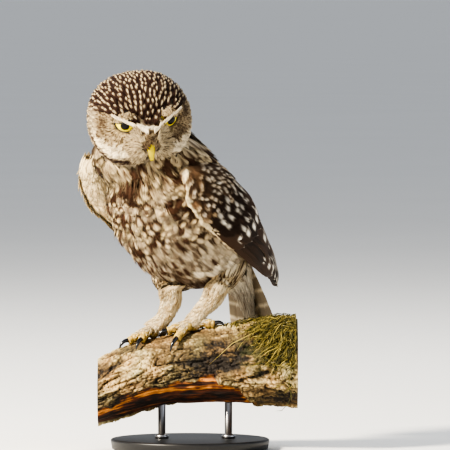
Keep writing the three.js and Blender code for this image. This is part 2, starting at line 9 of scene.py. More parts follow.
import bpy
import numpy as np
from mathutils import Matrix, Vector


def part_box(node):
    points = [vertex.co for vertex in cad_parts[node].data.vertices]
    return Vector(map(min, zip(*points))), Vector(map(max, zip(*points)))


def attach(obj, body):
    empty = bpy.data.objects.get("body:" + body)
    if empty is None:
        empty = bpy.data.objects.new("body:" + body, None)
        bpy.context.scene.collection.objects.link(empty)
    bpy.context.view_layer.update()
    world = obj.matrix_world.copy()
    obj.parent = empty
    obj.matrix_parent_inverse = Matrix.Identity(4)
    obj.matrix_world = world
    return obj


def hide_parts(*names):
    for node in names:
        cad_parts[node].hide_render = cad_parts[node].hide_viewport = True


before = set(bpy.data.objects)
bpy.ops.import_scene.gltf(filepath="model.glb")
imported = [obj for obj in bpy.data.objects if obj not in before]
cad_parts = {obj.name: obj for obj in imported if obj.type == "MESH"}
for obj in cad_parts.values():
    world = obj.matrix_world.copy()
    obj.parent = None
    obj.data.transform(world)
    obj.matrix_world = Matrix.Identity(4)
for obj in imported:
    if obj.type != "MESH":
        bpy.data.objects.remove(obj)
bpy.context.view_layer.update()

# Display stand
# A turned steel disc with an eased rim, sprayed satin black, with two brushed steel rods pressed
# into it from above. The rods end in holes drilled in the underside of the branch.
MM = 0.001
BASE_RADIUS = 62
BASE_THICKNESS = 8
BASE_EASE = 1.6
ROD_SINK = 3
COLLAR_WIDTH = 2.4
COLLAR_HEIGHT = 3.2


def add_piece(name, points, faces, tint=None, slot=None, replaced=()):
    """Makes one piece from points in millimetres and arrays of faces, and turns its faces outwards.

    tint gives each point a colour. The piece rides on the root body.
    """
    corners = [face[:, [0, i, i + 1]] for face in faces for i in range(1, face.shape[1] - 1)]
    a, b, c = (points[np.concatenate(corners)[:, i]] for i in range(3))
    if np.einsum("ij,ij->i", a, np.cross(b, c)).sum() < 0:
        faces = [face[:, ::-1] for face in faces]
    sizes = np.concatenate([np.full(len(face), face.shape[1]) for face in faces])
    mesh = bpy.data.meshes.new(name)
    mesh.vertices.add(len(points))
    mesh.vertices.foreach_set("co", (points * MM).astype(np.float32).ravel())
    mesh.loops.add(int(sizes.sum()))
    mesh.loops.foreach_set("vertex_index", np.concatenate([face.ravel() for face in faces]).astype(np.int32))
    mesh.polygons.add(len(sizes))
    mesh.polygons.foreach_set("loop_start", (np.cumsum(sizes) - sizes).astype(np.int32))
    mesh.polygons.foreach_set("use_smooth", np.ones(len(sizes), bool))
    mesh.update(calc_edges=True)
    if tint is not None:
        paint(mesh, tint)
    piece = bpy.data.objects.new(name, mesh)
    bpy.context.scene.collection.objects.link(piece)
    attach(piece, "root")
    if replaced:
        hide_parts(*replaced)
    return piece


def paint(mesh, tint):
    """Stores one linear colour for each vertex in the attribute that the materials read."""
    layer = mesh.attributes.new("Tint", "FLOAT_COLOR", "POINT")
    colours = np.ones((len(mesh.vertices), 4), np.float32)
    colours[:, :3] = np.broadcast_to(tint, (len(mesh.vertices), 3))
    layer.data.foreach_set("color", colours.ravel())


def srgb(text):
    """The linear colour of a six-digit web colour."""
    value = np.array([int(text[i:i + 2], 16) for i in (0, 2, 4)]) / 255
    return np.where(value <= 0.04045, value / 12.92, ((value + 0.055) / 1.055) ** 2.4)


def closed_tube(rings):
    """Points and faces of a skin over rings of points, closed over the middle of each end ring."""
    rows, count = rings.shape[:2]
    points = np.concatenate([rings.reshape(-1, 3), rings[[0, -1]].mean(axis=1)])
    index = np.arange(rows * count).reshape(rows, count)
    beside = np.roll(index, -1, axis=1)
    sides = np.stack([index[:-1], beside[:-1], beside[1:], index[1:]], axis=-1).reshape(-1, 4)
    first = np.stack([beside[0], index[0], np.full(count, rows * count)], axis=-1)
    last = np.stack([index[-1], beside[-1], np.full(count, rows * count + 1)], axis=-1)
    return points, [sides, np.concatenate([first, last])]


def finish(piece, roughness, grain, bump=0.15, mottle=0.15, stretch=(1, 1, 1), colour=None, **constants):
    """Gives a piece a material: its tint or one colour, mottled by a noise that also makes its bump.

    grain is the size of the noise in millimetres and mottle the share that it darkens or lightens.
    """
    material = bpy.data.materials.new(piece.name)
    material.use_nodes = True
    nodes = material.node_tree.nodes
    links = material.node_tree.links
    shader = nodes["Principled BSDF"]
    place = nodes.new("ShaderNodeTexCoord")
    mapping = nodes.new("ShaderNodeMapping")
    mapping.inputs["Scale"].default_value = stretch
    noise = nodes.new("ShaderNodeTexNoise")
    noise.inputs["Scale"].default_value = 1 / (grain * MM)
    noise.inputs["Detail"].default_value = 4
    links.new(place.outputs["Object"], mapping.inputs["Vector"])
    links.new(mapping.outputs["Vector"], noise.inputs["Vector"])
    shade = nodes.new("ShaderNodeMapRange")
    shade.inputs["From Min"].default_value = 0.3
    shade.inputs["From Max"].default_value = 0.7
    shade.inputs["To Min"].default_value = 1 - mottle
    shade.inputs["To Max"].default_value = 1 + mottle
    links.new(noise.outputs["Fac"], shade.inputs["Value"])
    tinted = nodes.new("ShaderNodeVectorMath")
    tinted.operation = "SCALE"
    if colour is None:
        attribute = nodes.new("ShaderNodeAttribute")
        attribute.attribute_name = "Tint"
        links.new(attribute.outputs["Color"], tinted.inputs[0])
    else:
        tinted.inputs[0].default_value = colour
    links.new(shade.outputs["Result"], tinted.inputs["Scale"])
    links.new(tinted.outputs["Vector"], shader.inputs["Base Color"])
    relief = nodes.new("ShaderNodeBump")
    relief.inputs["Strength"].default_value = bump
    relief.inputs["Distance"].default_value = grain * MM
    links.new(noise.outputs["Fac"], relief.inputs["Height"])
    links.new(relief.outputs["Normal"], shader.inputs["Normal"])
    shader.inputs["Roughness"].default_value = roughness
    for socket, value in constants.items():
        shader.inputs[socket.replace("_", " ")].default_value = value
    piece.data.materials.clear()
    piece.data.materials.append(material)


def full_turn(steps):
    """Even angles once round."""
    return np.linspace(0, 2 * np.pi, steps, endpoint=False)


def spread(x, y, z):
    """Points from three coordinates that are broadcast together."""
    return np.stack(np.broadcast_arrays(x, y, z), axis=-1)


def lathe(outline, sides=128):
    """Rings of a turned form from rows of radius and height."""
    turn = full_turn(sides)
    radius, height = np.array(outline, float).T[..., None]
    return spread(radius * np.cos(turn), radius * np.sin(turn), height)


ease = np.radians(np.linspace(0, 90, 7))
rim_radii = BASE_RADIUS - BASE_EASE * (1 - np.cos(ease))
rim_heights = BASE_THICKNESS - BASE_EASE * (1 - np.sin(ease))
foot_rows = [(40, 0), (BASE_RADIUS - 2.5, 0), (BASE_RADIUS - 1, 0.5)]
top_rows = [(BASE_RADIUS - 4, BASE_THICKNESS), (30, BASE_THICKNESS), (4, BASE_THICKNESS)]
base_rings = lathe(foot_rows + list(zip(rim_radii, rim_heights)) + top_rows)
stand_base = add_piece("stand_base_disc", *closed_tube(base_rings), slot="stand_base",
                       replaced=["stand_base"])
finish(stand_base, 0.42, 0.7, bump=0.08, mottle=0.2, colour=(0.012, 0.012, 0.013))

for number in (1, 2):
    low, high = (np.array(corner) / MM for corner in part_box(f"stand_rod_{number}"))
    radius = (high[0] - low[0]) / 2
    bottom, top = low[2], high[2] + ROD_SINK
    collar = [(radius + COLLAR_WIDTH, bottom), (radius + COLLAR_WIDTH, bottom + 2),
              (radius + 1.4, bottom + 3), (radius, bottom + COLLAR_HEIGHT)]
    rings = lathe(collar + [(radius, top - 1), (radius * 0.9, top)], sides=48)
    rings = rings + np.append((low[:2] + high[:2]) / 2, 0)
    rod = add_piece(f"stand_rod_{number}_turned", *closed_tube(rings), slot="stand_rod",
                    replaced=[f"stand_rod_{number}"])
    finish(rod, 0.3, 0.25, bump=0.04, mottle=0.12, stretch=(1, 1, 0.05), colour=(0.4, 0.4, 0.41),
           Metallic=1.0)

# Branch
# A cut length of an old dead limb, with thick furrowed bark that flakes off in plates. On the lower
# left the bark is gone and shows weathered orange wood. Both ends are sawn square.
BRANCH_TURN = 42
BRANCH_RADIUS = 29
BRANCH_ENDS = (-72, 84)
BARK_COLOURS = [srgb("1c140b"), srgb("6c5836"), srgb("c6b182")]
WOOD_COLOURS = [srgb("140a05"), srgb("5c2e14"), srgb("c9853a")]
END_COLOURS = [srgb("8a6238"), srgb("c9a06a")]
MOSS_GREEN = srgb("3f4618")


def turned(degrees, axis):
    """The matrix of a turn about axis 0, 1 or 2."""
    one, two = [(1, 2), (2, 0), (0, 1)][axis]
    matrix = np.eye(3)
    matrix[one, one] = matrix[two, two] = math.cos(math.radians(degrees))
    matrix[two, one] = math.sin(math.radians(degrees))
    matrix[one, two] = -matrix[two, one]
    return matrix


def profile(rows):
    """A smooth curve through rows of place and value, level past its ends."""
    x, value = np.array(rows, float).T
    before = np.maximum(np.arange(len(x)) - 1, 0)
    after = np.minimum(np.arange(len(x)) + 1, len(x) - 1)
    slope = (value[after] - value[before]) / (x[after] - x[before])

    def curve(at):
        at = np.clip(at, x[0], x[-1])
        i = np.clip(np.searchsorted(x, at, side="right") - 1, 0, len(x) - 2)
        span = x[i + 1] - x[i]
        t = (at - x[i]) / span
        blend = t * t * (3 - 2 * t)
        low = value[i] + slope[i] * span * t
        return low + (value[i + 1] - slope[i + 1] * span * (1 - t) - low) * blend

    return curve


def soft_noise(points, cell, seed=0):
    """Smooth noise from -1 to 1: a hashed value at each corner of a lattice, eased in between."""
    grid = points / cell + 4096
    corner = np.floor(grid).astype(np.int64)
    part = grid - corner
    part = part * part * (3 - 2 * part)
    total = np.zeros(points.shape[:-1])
    for step in itertools.product((0, 1), repeat=3):
        at = corner + step
        mixed = at[..., 0] * 374761393 + at[..., 1] * 668265263 + at[..., 2] * 982451653 + seed * 362437
        mixed = (mixed ^ (mixed >> 13)) * 1274126177
        mixed = (mixed ^ (mixed >> 16)) & 0xFFFF
        total += np.prod(np.where(step, part, 1 - part), axis=-1) * (mixed / 32767.5 - 1)
    return total


def blend_colours(colours, share):
    """Colours along a list of them: share 0 is the first and 1 the last."""
    share = np.clip(share, 0, 1) * (len(colours) - 1)
    low = np.minimum(share.astype(int), len(colours) - 2)
    colours = np.array(colours)
    return colours[low] + (colours[low + 1] - colours[low]) * (share - low)[..., None]


branch_rise = profile([[-74, 43], [-47, 53], [-23, 60], [0, 64], [27, 65.5], [55, 66], [86, 66]])
branch_size = profile([[-74, 0.86], [-47, 0.97], [-23, 0.98], [0, 1], [27, 1.05], [55, 1.14], [86, 1.2]])
PERCH_TURN = turned(BRANCH_TURN, 2)


def bark_surface(x, turn, lift=0.0):
    """A point on the branch: x along it, turn about it from the horizontal, lift outwards."""
    radius = BRANCH_RADIUS * branch_size(x) + lift
    local = spread(x, np.cos(turn) * radius, branch_rise(x) + np.sin(turn) * radius)
    return local @ PERCH_TURN.T


def below_bark(x, turn):
    """Degrees round the branch below the ragged edge of the bark, on the front of its lower left."""
    point = bark_surface(x, turn)
    angle = np.degrees(np.arctan2(np.sin(turn), -np.cos(turn)))
    edge = -14 - 0.25 * np.abs(x + 5) + 11 * soft_noise(point, 11, 5) + 6 * soft_noise(point, 3.5, 6)
    return (edge - angle) * (angle > -100) - 3 * np.maximum(x - 30 - 9 * soft_noise(point, 9, 7), 0)


def bare_wood(x, turn):
    """How bare of bark the branch is, 0 to 1."""
    return np.clip(below_bark(x, turn) / 5, 0, 1)


def creases(points, cell, width, seed):
    """1 on thin crooked lines, where a noise crosses zero, and 0 between them."""
    return np.exp(-(soft_noise(points, cell, seed) / width) ** 2)


def bark_relief(x, turn):
    """Height of the bark over its mean round: lumps, plates, furrows between them, and flakes."""
    along = spread(x * 0.32, np.cos(turn) * BRANCH_RADIUS, np.sin(turn) * BRANCH_RADIUS)
    ridges = np.sin(turn * 9 + x * 0.05) * np.sin(x * 0.11 + turn * 2)
    lumps = np.sin(turn * 3 + x * 0.045 + 1) + np.sin(turn * 2 - x * 0.06)
    crackle = creases(along * (2.2, 1, 1), 1.3, 0.15, 25)
    sway = along + 1.4 * soft_noise(along, 7, 1)[..., None]
    plates = 1.1 * np.tanh(3 * soft_noise(sway, 6.5, 2))
    furrows = creases(sway, 5.2, 0.14, 3) + 0.8 * creases(sway * (1.6, 1, 1), 2.3, 0.12, 4)
    flakes = 0.6 * soft_noise(along, 1.7, 8) + 0.4 * soft_noise(along, 0.8, 9)
    bark = 0.5 * ridges + plates - 1.9 * furrows - 0.55 * crackle + flakes
    grain = np.stack([x * 0.06, along[..., 1], along[..., 2]], axis=-1)
    wood = -2.6 + 1.1 * soft_noise(grain, 2.4, 10) + 0.8 * soft_noise(grain * (2, 1, 1), 0.9, 11)
    bare = bare_wood(x, turn)
    return 0.8 * lumps + bark * (1 - bare) + wood * bare


def branch_body(rows=260, sides=270, end_rows=12):
    """The branch as rings along it, with sawn ends of rings that close on the middle.

    The bark's colour follows its height: darker in the furrows and lighter on the plates, partly its
    own colour and partly painted shade and painted highlight. Just under the bark's edge the bare
    wood is painted dark as that edge's shadow, then orange in a band, partly its own colour and partly
    painted highlight, and dark again lower down as painted shade. It is streaked along its fibres,
    with dark crack lines painted in as shade, and moss stains the top of the right half.
    """
    x, turn = np.meshgrid(np.linspace(*BRANCH_ENDS, rows), full_turn(sides), indexing="ij")
    relief = bark_relief(x, turn)
    feet = np.exp(-(np.maximum(np.abs(x + 12) - 26, 0) / 6) ** 2) * np.clip(np.sin(turn) * 3 - 1.2, 0, 1)
    relief = relief * (1 - feet) + np.minimum(relief * 0.35, 0.5) * feet
    skin = bark_surface(x, turn, relief)
    # Darker in the furrows and lighter on the plates: partly the bark's own colour, partly painted shade and
    # painted highlight.
    shade = 0.56 + 0.2 * relief + 0.15 * soft_noise(skin, 7, 12) + 0.3 * soft_noise(skin, 1.2, 13)
    warmth = 0.12 * soft_noise(skin, 10, 23)[..., None] * np.array((1.2, 0, -0.6))
    bark = blend_colours(BARK_COLOURS, shade) * (1 + warmth)
    grain = spread(x * 0.05, np.cos(turn) * BRANCH_RADIUS, np.sin(turn) * BRANCH_RADIUS)
    # Just under the bark's edge the wood is painted dark as the edge's shadow, then orange in a band, partly
    # its own colour and partly painted highlight, and dark lower down as painted shade.
    orange_band_and_painted_shade = np.exp(-((below_bark(x, turn) - 10) / 9) ** 2)
    # Dark crack lines painted into the colour as shade in cracks that the surface itself doesn't cut.
    crack_shade = creases(grain * (1.5, 1, 1), 1.3, 0.13, 26)
    fibres = 0.45 * soft_noise(grain, 1.6, 14) + 0.3 * soft_noise(grain, 6, 15)
    fibres = fibres + 0.3 * soft_noise(grain * (3, 1, 1), 0.7, 24)
    wood = blend_colours(WOOD_COLOURS, 0.12 + 0.5 * orange_band_and_painted_shade + 1.1 * fibres - 0.45 * crack_shade)
    tint = bark + (wood - bark) * bare_wood(x, turn)[..., None]
    mossy = np.clip((x - 34 + 14 * soft_noise(skin, 9, 16)) / 20, 0, 1)
    mossy = mossy * np.clip(np.sin(turn) * 1.6 + 0.5, 0, 1) * (soft_noise(skin, 4, 17) > -0.2)
    tint = tint + (MOSS_GREEN * 0.7 - tint) * (0.75 * mossy)[..., None]
    rings, tints = [skin], [tint]
    shrink = np.linspace(1, 0, end_rows + 1)[1:-1] ** 0.9
    for row in (0, -1):
        middle = skin[row].mean(axis=0)
        disc = middle + (skin[row] - middle) * shrink[:, None, None]
        growth = 0.5 + 0.5 * np.sin(shrink * 70)[:, None] + 0.2 * soft_noise(disc, 3, 18)
        ring_tint = blend_colours(END_COLOURS, growth)
        if row == 0:
            rings.insert(0, disc[::-1])
            tints.insert(0, ring_tint[::-1])
        else:
            rings.append(disc)
            tints.append(ring_tint)
    tint = np.concatenate([np.concatenate(tints).reshape(-1, 3), np.tile(END_COLOURS[0], (2, 1))])
    return *closed_tube(np.concatenate(rings)), tint


branch = add_piece("branch_bark", *branch_body(), slot="bark", replaced=["perch_branch"])
finish(branch, 0.82, 0.45, bump=0.35, mottle=0.3)

# Moss
# Cushions of living moss on top of the branch's right half: many thin curved shoots, green to
# straw yellow, rooted in the bark.
MOSS_SHOOTS = 9000
MOSS_COLOURS = [srgb("14150a"), srgb("37360f"), srgb("736728"), srgb("b8a45c")]
MOSS_END = 82.5
STATIONS = np.array([0, 0.38, 0.74, 1])
STATION_POINTS = [3, 3, 3, 1]


def unit(vectors):
    """The same vectors at length one."""
    return vectors / (np.linalg.norm(vectors, axis=-1, keepdims=True) + 1e-12)


def strands(path, above, half, thick):
    """Closed tapered strands with three sides: points of shape (count, 10, 3) and their faces.

    path holds four points for each strand, above the outward direction at each of them, half
    their half widths and thick their thickness.
    """
    across = unit(np.cross(np.gradient(path, axis=1), above))
    wide = across[:, :3] * half[:, :3, None]
    tall = above[:, :3] * thick[:, :3, None]
    middle = path[:, :3]
    rings = np.stack([middle + wide, middle - wide, middle + tall], axis=2).reshape(len(path), 9, 3)
    points = np.concatenate([rings, path[:, 3:]], axis=1)
    quads = np.array([[3 * k + j, 3 * k + (j + 1) % 3, 3 * k + 3 + (j + 1) % 3, 3 * k + 3 + j]
                      for k in range(2) for j in range(3)])
    ends = np.array([[0, 2, 1]] + [[6 + j, 6 + (j + 1) % 3, 9] for j in range(3)])
    start = 10 * np.arange(len(path))[:, None, None]
    return points, [(quads + start).reshape(-1, 4), (ends + start).reshape(-1, 3)]


chance = np.random.default_rng(41)
x = 20 + 61 * chance.uniform(0, 1, MOSS_SHOOTS * 2) ** 0.7
turn = np.radians(chance.normal(98, 48, MOSS_SHOOTS * 2))
root = bark_surface(x, turn)
growth = soft_noise(root, 8, 16) + 0.7 * soft_noise(root, 3, 19) + (x - 44) / 28
keep = growth > 0.3 + 0.8 * (1 - np.sin(turn))
x, turn = x[keep][:MOSS_SHOOTS], turn[keep][:MOSS_SHOOTS]
count = len(x)
reach = chance.uniform(2.0, 6.4, count) * (0.6 + 0.6 * np.clip((x - 35) / 40, 0, 1))
reach = (reach * np.where(chance.uniform(0, 1, count) < 0.04, 1.7, 1))[:, None]
aside, onward = chance.normal(0, 1.0, (2, count, 1))
curl = chance.normal(0, 0.9, (count, 1))
lift = bark_relief(x, turn)[:, None] - 0.6 + reach * np.sin(STATIONS * 2.5) * 0.55
along = x[:, None] + reach * (onward * STATIONS + curl * STATIONS ** 2)
about = turn[:, None] + reach * (aside * STATIONS - curl * STATIONS ** 3) / BRANCH_RADIUS
path = bark_surface(np.minimum(along, MOSS_END), about, lift)
above = unit(chance.normal(0, 1, (count, 1, 3))) * np.ones((count, 4, 1))
width = np.array([0.2, 0.34, 0.28, 0]) * chance.uniform(0.7, 1.4, (count, 1))
points, faces = strands(path, above, width, width * 0.9)
share = chance.uniform(0, 0.6, (count, 1)) + np.array([0, 0.12, 0.3, 0.4])
tint = blend_colours(MOSS_COLOURS, np.repeat(share, STATION_POINTS, axis=1))
moss = add_piece("branch_moss", points.reshape(-1, 3), faces, tint.reshape(-1, 3), slot="bark")
finish(moss, 0.7, 0.8, bump=0.1, mottle=0.2)

# Feet
# Bare dull-yellow toes with rough pads and small scutes on top, set on the bark two forward, one
# out and one back. The pale bristle feathers on their upper side come with the leg plumage.
TOE_RADIUS = 2.9
GAP = 0.4
CLAW_LENGTH = 10.5
PAD_RADIUS = 5.6
PAD_LIFT = 4.5
TOE_SKIN = [srgb("4a3a22"), srgb("94793a"), srgb("c4a95a")]
LEGS = {
    "left": {
        "foot": (3, -4),
        "shank": [(21, -7, 125.5), (16, -6, 116), (8, -5, 107)],
        "hip": (19, 0, -36),
        "knee": (3, 0, 0),
        "toes": {"inner": (191, 21), "middle": (228, 20), "outer": (348, 17), "hind": (70, 13)},
    },
    "right": {
        "foot": (-29, 3),
        "shank": [(-15.5, 2, 124), (-15.5, 2, 113), (-21, 3, 101)],
        "hip": (-18, -3, -36),
        "knee": (-4, -3, 0),
        "toes": {"inner": (238, 17), "middle": (198, 20), "outer": (142, 18), "hind": (50, 13)},
    },
}


def bark_point(x, y, lift):
    """A point above the bark at a place seen from above, lifted square to the bark."""
    radius = BRANCH_RADIUS * branch_size(x)
    lean = np.arcsin(np.clip(y / radius, -0.95, 0.95))
    out = radius + lift
    local = spread(x, np.sin(lean) * out, branch_rise(x) + np.cos(lean) * out)
    return local @ PERCH_TURN.T


def smooth_path(points, steps):
    """Points at even steps of length on a smooth curve through the given ones."""
    points = np.array(points, float)
    points = np.concatenate([[2 * points[0] - points[1]], points, [2 * points[-1] - points[-2]]])
    spans = len(points) - 3
    t = np.linspace(0, spans, 40 * spans + 1)
    i = np.minimum(t.astype(int), spans - 1)
    t = (t - i)[:, None]
    a, b, c, d = (points[i + k] for k in range(4))
    fine = 0.5 * (2 * b + (c - a) * t + (2 * a - 5 * b + 4 * c - d) * t ** 2
                  + (3 * b - a - 3 * c + d) * t ** 3)
    length = np.append(0, np.cumsum(np.linalg.norm(np.diff(fine, axis=0), axis=1)))
    even = np.linspace(0, length[-1], steps)
    return np.stack([np.interp(even, length, fine[:, k]) for k in range(3)], axis=-1)


def square_to(axis, up=(0, 0, 1)):
    """Two directions square to an axis and to each other: to its side and over it."""
    side = unit(np.cross(axis, up))
    return side, np.cross(side, axis)


def around(turn, side, over):
    """The direction at an angle from side towards over."""
    return np.cos(turn)[..., None] * side + np.sin(turn)[..., None] * over


def tube(path, radii, sides):
    """Rings of the given radii about a path, and the angle of each ring point from its side."""
    side, over = square_to(unit(np.gradient(path, axis=0)))
    turn = full_turn(sides)[None, :]
    radii = np.broadcast_to(radii, (len(path), sides))[..., None]
    return path[:, None] + around(turn, side[:, None], over[:, None]) * radii, turn


def joined(parts):
    """Many points and faces lists as one."""
    points, faces = zip(*parts)
    starts = np.cumsum([0] + [len(some) for some in points])
    return np.concatenate(points), [face + start for part, start in zip(faces, starts) for face in part]


def toe_line(leg, heading, reach):
    """The middle line of a toe, and of its claw beyond it, over the bark."""
    direction = np.array([math.cos(math.radians(heading)), math.sin(math.radians(heading))])

    def over(distance, lift):
        x, y = np.array(leg["foot"]) + direction * distance
        return bark_point(x, y, lift)

    lift = TOE_RADIUS + GAP
    bones = [over(reach * t, lift + 2.6 * (1 - t)) for t in (0, 0.35, 0.7, 1)]
    claw = [over(reach - 1.5, lift + 0.8), over(reach + CLAW_LENGTH * 0.28, lift + 1.8),
            over(reach + CLAW_LENGTH * 0.56, lift + 0.6), over(reach + CLAW_LENGTH * 0.72, GAP + 0.9)]
    return bones, claw


toe_radius = profile([[0, 1.25], [0.2, 1.08], [0.35, 1.2], [0.52, 1.02],
                      [0.7, 1.18], [0.86, 1], [0.96, 1.04], [1, 0.7]])
for name, leg in LEGS.items():
    parts, tints = [], []
    for heading, reach in leg["toes"].values():
        path = smooth_path(toe_line(leg, heading, reach)[0], 64)
        t = np.linspace(0, 1, len(path))[:, None]
        rings, turn = tube(path, 1.0, sides=36)
        scutes = 0.24 * np.abs(np.sin(t * reach * 1.15)) * np.clip(np.sin(turn) * 2, 0, 1)
        pads = 0.5 * np.clip(-np.sin(turn) * 2 - 0.6, 0, 1) * np.abs(np.cos(t * np.pi * 3)) ** 0.5
        warts = 0.2 * soft_noise(rings * 3, 1.5, 20)
        radii = TOE_RADIUS * toe_radius(t) + scutes + pads * 0.7 + warts
        rings = path[:, None] + (rings - path[:, None]) * radii[..., None]
        parts.append(closed_tube(rings))
        # The toes are painted lighter on top and darker underneath, as painted light from above.
        shade = 0.42 + 0.2 * np.sin(turn) + 1.4 * scutes + 0.35 * soft_noise(rings, 1.6, 21) + 1.2 * warts
        tints += [blend_colours(TOE_SKIN, shade).reshape(-1, 3), np.tile(TOE_SKIN[1], (2, 1))]
    theta, turn = np.meshgrid(np.linspace(0.05, np.pi - 0.05, 24), full_turn(36), indexing="ij")
    ball = spread(np.sin(theta) * np.cos(turn), np.sin(theta) * np.sin(turn), np.cos(theta))
    size = PAD_RADIUS + 0.2 * soft_noise(ball * 6, 1, 22)
    parts.append(closed_tube(bark_point(*leg["foot"], PAD_LIFT) + ball * size[..., None]))
    tints.append(np.tile(TOE_SKIN[1], (len(parts[-1][0]), 1)))
    foot = add_piece(f"toes_{name}", *joined(parts), np.concatenate(tints), slot="toe_skin",
                     replaced=[f"foot_{name}"])
    finish(foot, 0.55, 0.5, bump=0.3, mottle=0.2, Subsurface_Weight=0.1, Subsurface_Scale=0.002)

# Claws
# Curved, needle-pointed horn sheaths, blue-black and glossy, browner where they leave the toe.
CLAW_COLOURS = [srgb("4a3c30"), srgb("17171c"), srgb("0e0f14")]


def with_ends(tint):
    """The colours of a tube's rings and of the two points that close its ends."""
    return np.concatenate([tint.reshape(-1, 3), tint[0, :1], tint[-1, :1]])


for name, leg in LEGS.items():
    for toe, (heading, reach) in leg["toes"].items():
        path = smooth_path(toe_line(leg, heading, reach)[1], 30)
        t = np.linspace(0, 1, 30)[:, None]
        rings, turn = tube(path, 1.9 * (1 - t) ** 0.6 + 0.12, sides=16)
        tint = blend_colours(CLAW_COLOURS, t * 2.2 * np.ones_like(turn))
        talon = add_piece(f"talon_{name}_{toe}", *closed_tube(rings), with_ends(tint), slot="claw",
                          replaced=[f"claw_{name}_{toe}"])
        finish(talon, 0.22, 0.6, bump=0.04, mottle=0.15, Coat_Weight=0.3)

# Head form
# The head's own shape carries the facial discs: two shallow dishes round the eyes under a brow
# ridge, full cheeks and a bridge over the bill. Bill, eyes, skin and head feathers all sit on it.
HEAD_WIDTH = 79
HEAD_DEPTH = 72
HEAD_HEIGHT = 72
HEAD_POWER = 2.3
HEAD_CENTRE = np.array((-6, -52, 258.0))
HEAD_TURN = turned(58, 2) @ turned(22, 0) @ turned(-7, 1)
EYE_RADIUS = 8.6
EYE_TURN = math.radians(20)
SIDES = {"left": 1, "right": -1}


def to_head(local):
    """From the head's own axes to the part's."""
    return local @ HEAD_TURN.T + HEAD_CENTRE


def eye_centre(side):
    """The middle of an eyeball, on the head's own axes: side is 1 for the owl's left, -1 for its right."""
    return np.array((side * 15.6, -22, 10.6))


def gaze(side):
    """The direction in which an eye looks."""
    return unit(np.array((side * math.sin(EYE_TURN), -math.cos(EYE_TURN), -0.15)))


def eye_direction(side):
    """The middle of a facial disc, as a direction from the middle of the head."""
    return unit(eye_centre(side) + 5 * gaze(side))


def angle_to(direction, other):
    """The angle between directions and another one, which may have any length."""
    return np.arccos(np.clip(direction @ unit(np.array(other, float)), -1, 1))


def brow_line(side, t):
    """Directions along the brow, from the bridge of the bill up and out over the eye."""
    inner = np.array((side * 3, -33, 6.0))
    outer = np.array((side * 25, -26, 17.0))
    return unit(inner + (outer - inner) * np.asarray(t)[..., None])


def angle_to_brow(direction, side):
    """The smallest angle between a direction and the brow."""
    return np.min([angle_to(direction, brow_line(side, t)) for t in np.linspace(0, 1, 9)], axis=0)


def bump(distance, width):
    """A round rise that fades with distance."""
    return np.exp(-(distance / width) ** 2)


def head_radius(direction):
    """Distance of the feathers' outline from the middle of the head in a direction.

    It is a blunt egg, less a dish round each eye, plus the dish's lower rim, the brow over it,
    the cheek under it and the bridge over the bill.
    """
    y, z = direction[..., 1], direction[..., 2]
    depth = np.where(y < 0, HEAD_DEPTH * 0.47, HEAD_DEPTH * 0.53)
    shares = np.abs(direction / spread(HEAD_WIDTH / 2, depth, HEAD_HEIGHT / 2))
    radius = (shares ** HEAD_POWER).sum(axis=-1) ** (-1 / HEAD_POWER)
    for side in SIDES.values():
        to_eye = angle_to(direction, eye_direction(side))
        radius = radius - 4.2 * bump(to_eye, 0.42) + 1.8 * bump(to_eye - 0.72, 0.16) * np.clip(0.6 - z, 0, 1)
        radius = radius + 4.6 * bump(angle_to_brow(direction, side), 0.17)
        radius = radius + 2.2 * bump(angle_to(direction, (side * 20, -24, -18)), 0.3)
    return radius + 3.4 * bump(angle_to(direction, (0, -32, -5)), 0.24)


# Eyes
# A dark round pupil in a bright yellow iris with fine streaks and a dark edge, under a clear wet
# cornea. Each eyeball fills its socket, doesn't turn, and is as buff as the lids where they cover it.
EYE_YELLOW = [srgb("a88d00"), srgb("e6cc0c"), srgb("fff04a")]
EYE_DARK = srgb("0a0807")
LID_BUFF = srgb("7d684c")
PUPIL_ANGLE = 0.40
IRIS_ANGLE = 1.16
CORNEA_RISE = 0.7


def off_axis(axis, angle, turn):
    """The direction at an angle from an axis, turned about it from its level side."""
    return np.cos(angle)[..., None] * axis + np.sin(angle)[..., None] * around(turn, *square_to(axis))


def lid_opening(side, turn):
    """The angle of the lids' edge from the gaze: an oval, cut off by a sloping line over the eye."""
    oval = 1 / np.sqrt((np.cos(turn) / 1.12) ** 2 + (np.sin(turn) / 0.94) ** 2)
    slope = turn - side * math.radians(15)
    line = 0.30 / np.maximum(np.sin(slope), 1e-3)
    return (oval ** -8 + line ** -8) ** (-1 / 8)


for name, side in SIDES.items():
    angle = np.linspace(0, np.pi, 82)[1:-1, None]
    turn = full_turn(128)[None, :]
    size = EYE_RADIUS + CORNEA_RISE * bump(angle, 0.62)
    rings = eye_centre(side) + size[..., None] * off_axis(gaze(side), angle, turn)
    streaks = soft_noise(spread(np.cos(turn) * 9, np.sin(turn) * 9, angle * 1.2), 0.5, 30)
    yellow = blend_colours(EYE_YELLOW, 0.55 + 0.35 * streaks + 0.25 * np.sin((angle - PUPIL_ANGLE) * 4))
    edge = np.clip((angle - IRIS_ANGLE + 0.07) / 0.06, 0, 1)
    pupil = np.clip((PUPIL_ANGLE + 0.015 - angle) / 0.03, 0, 1)
    tint = yellow + (EYE_DARK - yellow) * np.clip(edge + pupil, 0, 1)[..., None]
    covered = np.clip((angle - lid_opening(side, turn) - 0.10) / 0.06, 0, 1)
    tint = tint + (LID_BUFF - tint) * covered[..., None]
    tint = np.concatenate([tint.reshape(-1, 3), [EYE_DARK, EYE_DARK]])
    eye = add_piece(f"eyeball_{name}", *closed_tube(to_head(rings)), tint, slot="eye",
                    replaced=[f"eye_{name}"])
    finish(eye, 0.35, 0.3, bump=0.0, mottle=0.05, Coat_Weight=0.35, Coat_Roughness=0.03,
           Specular_IOR_Level=0.05)

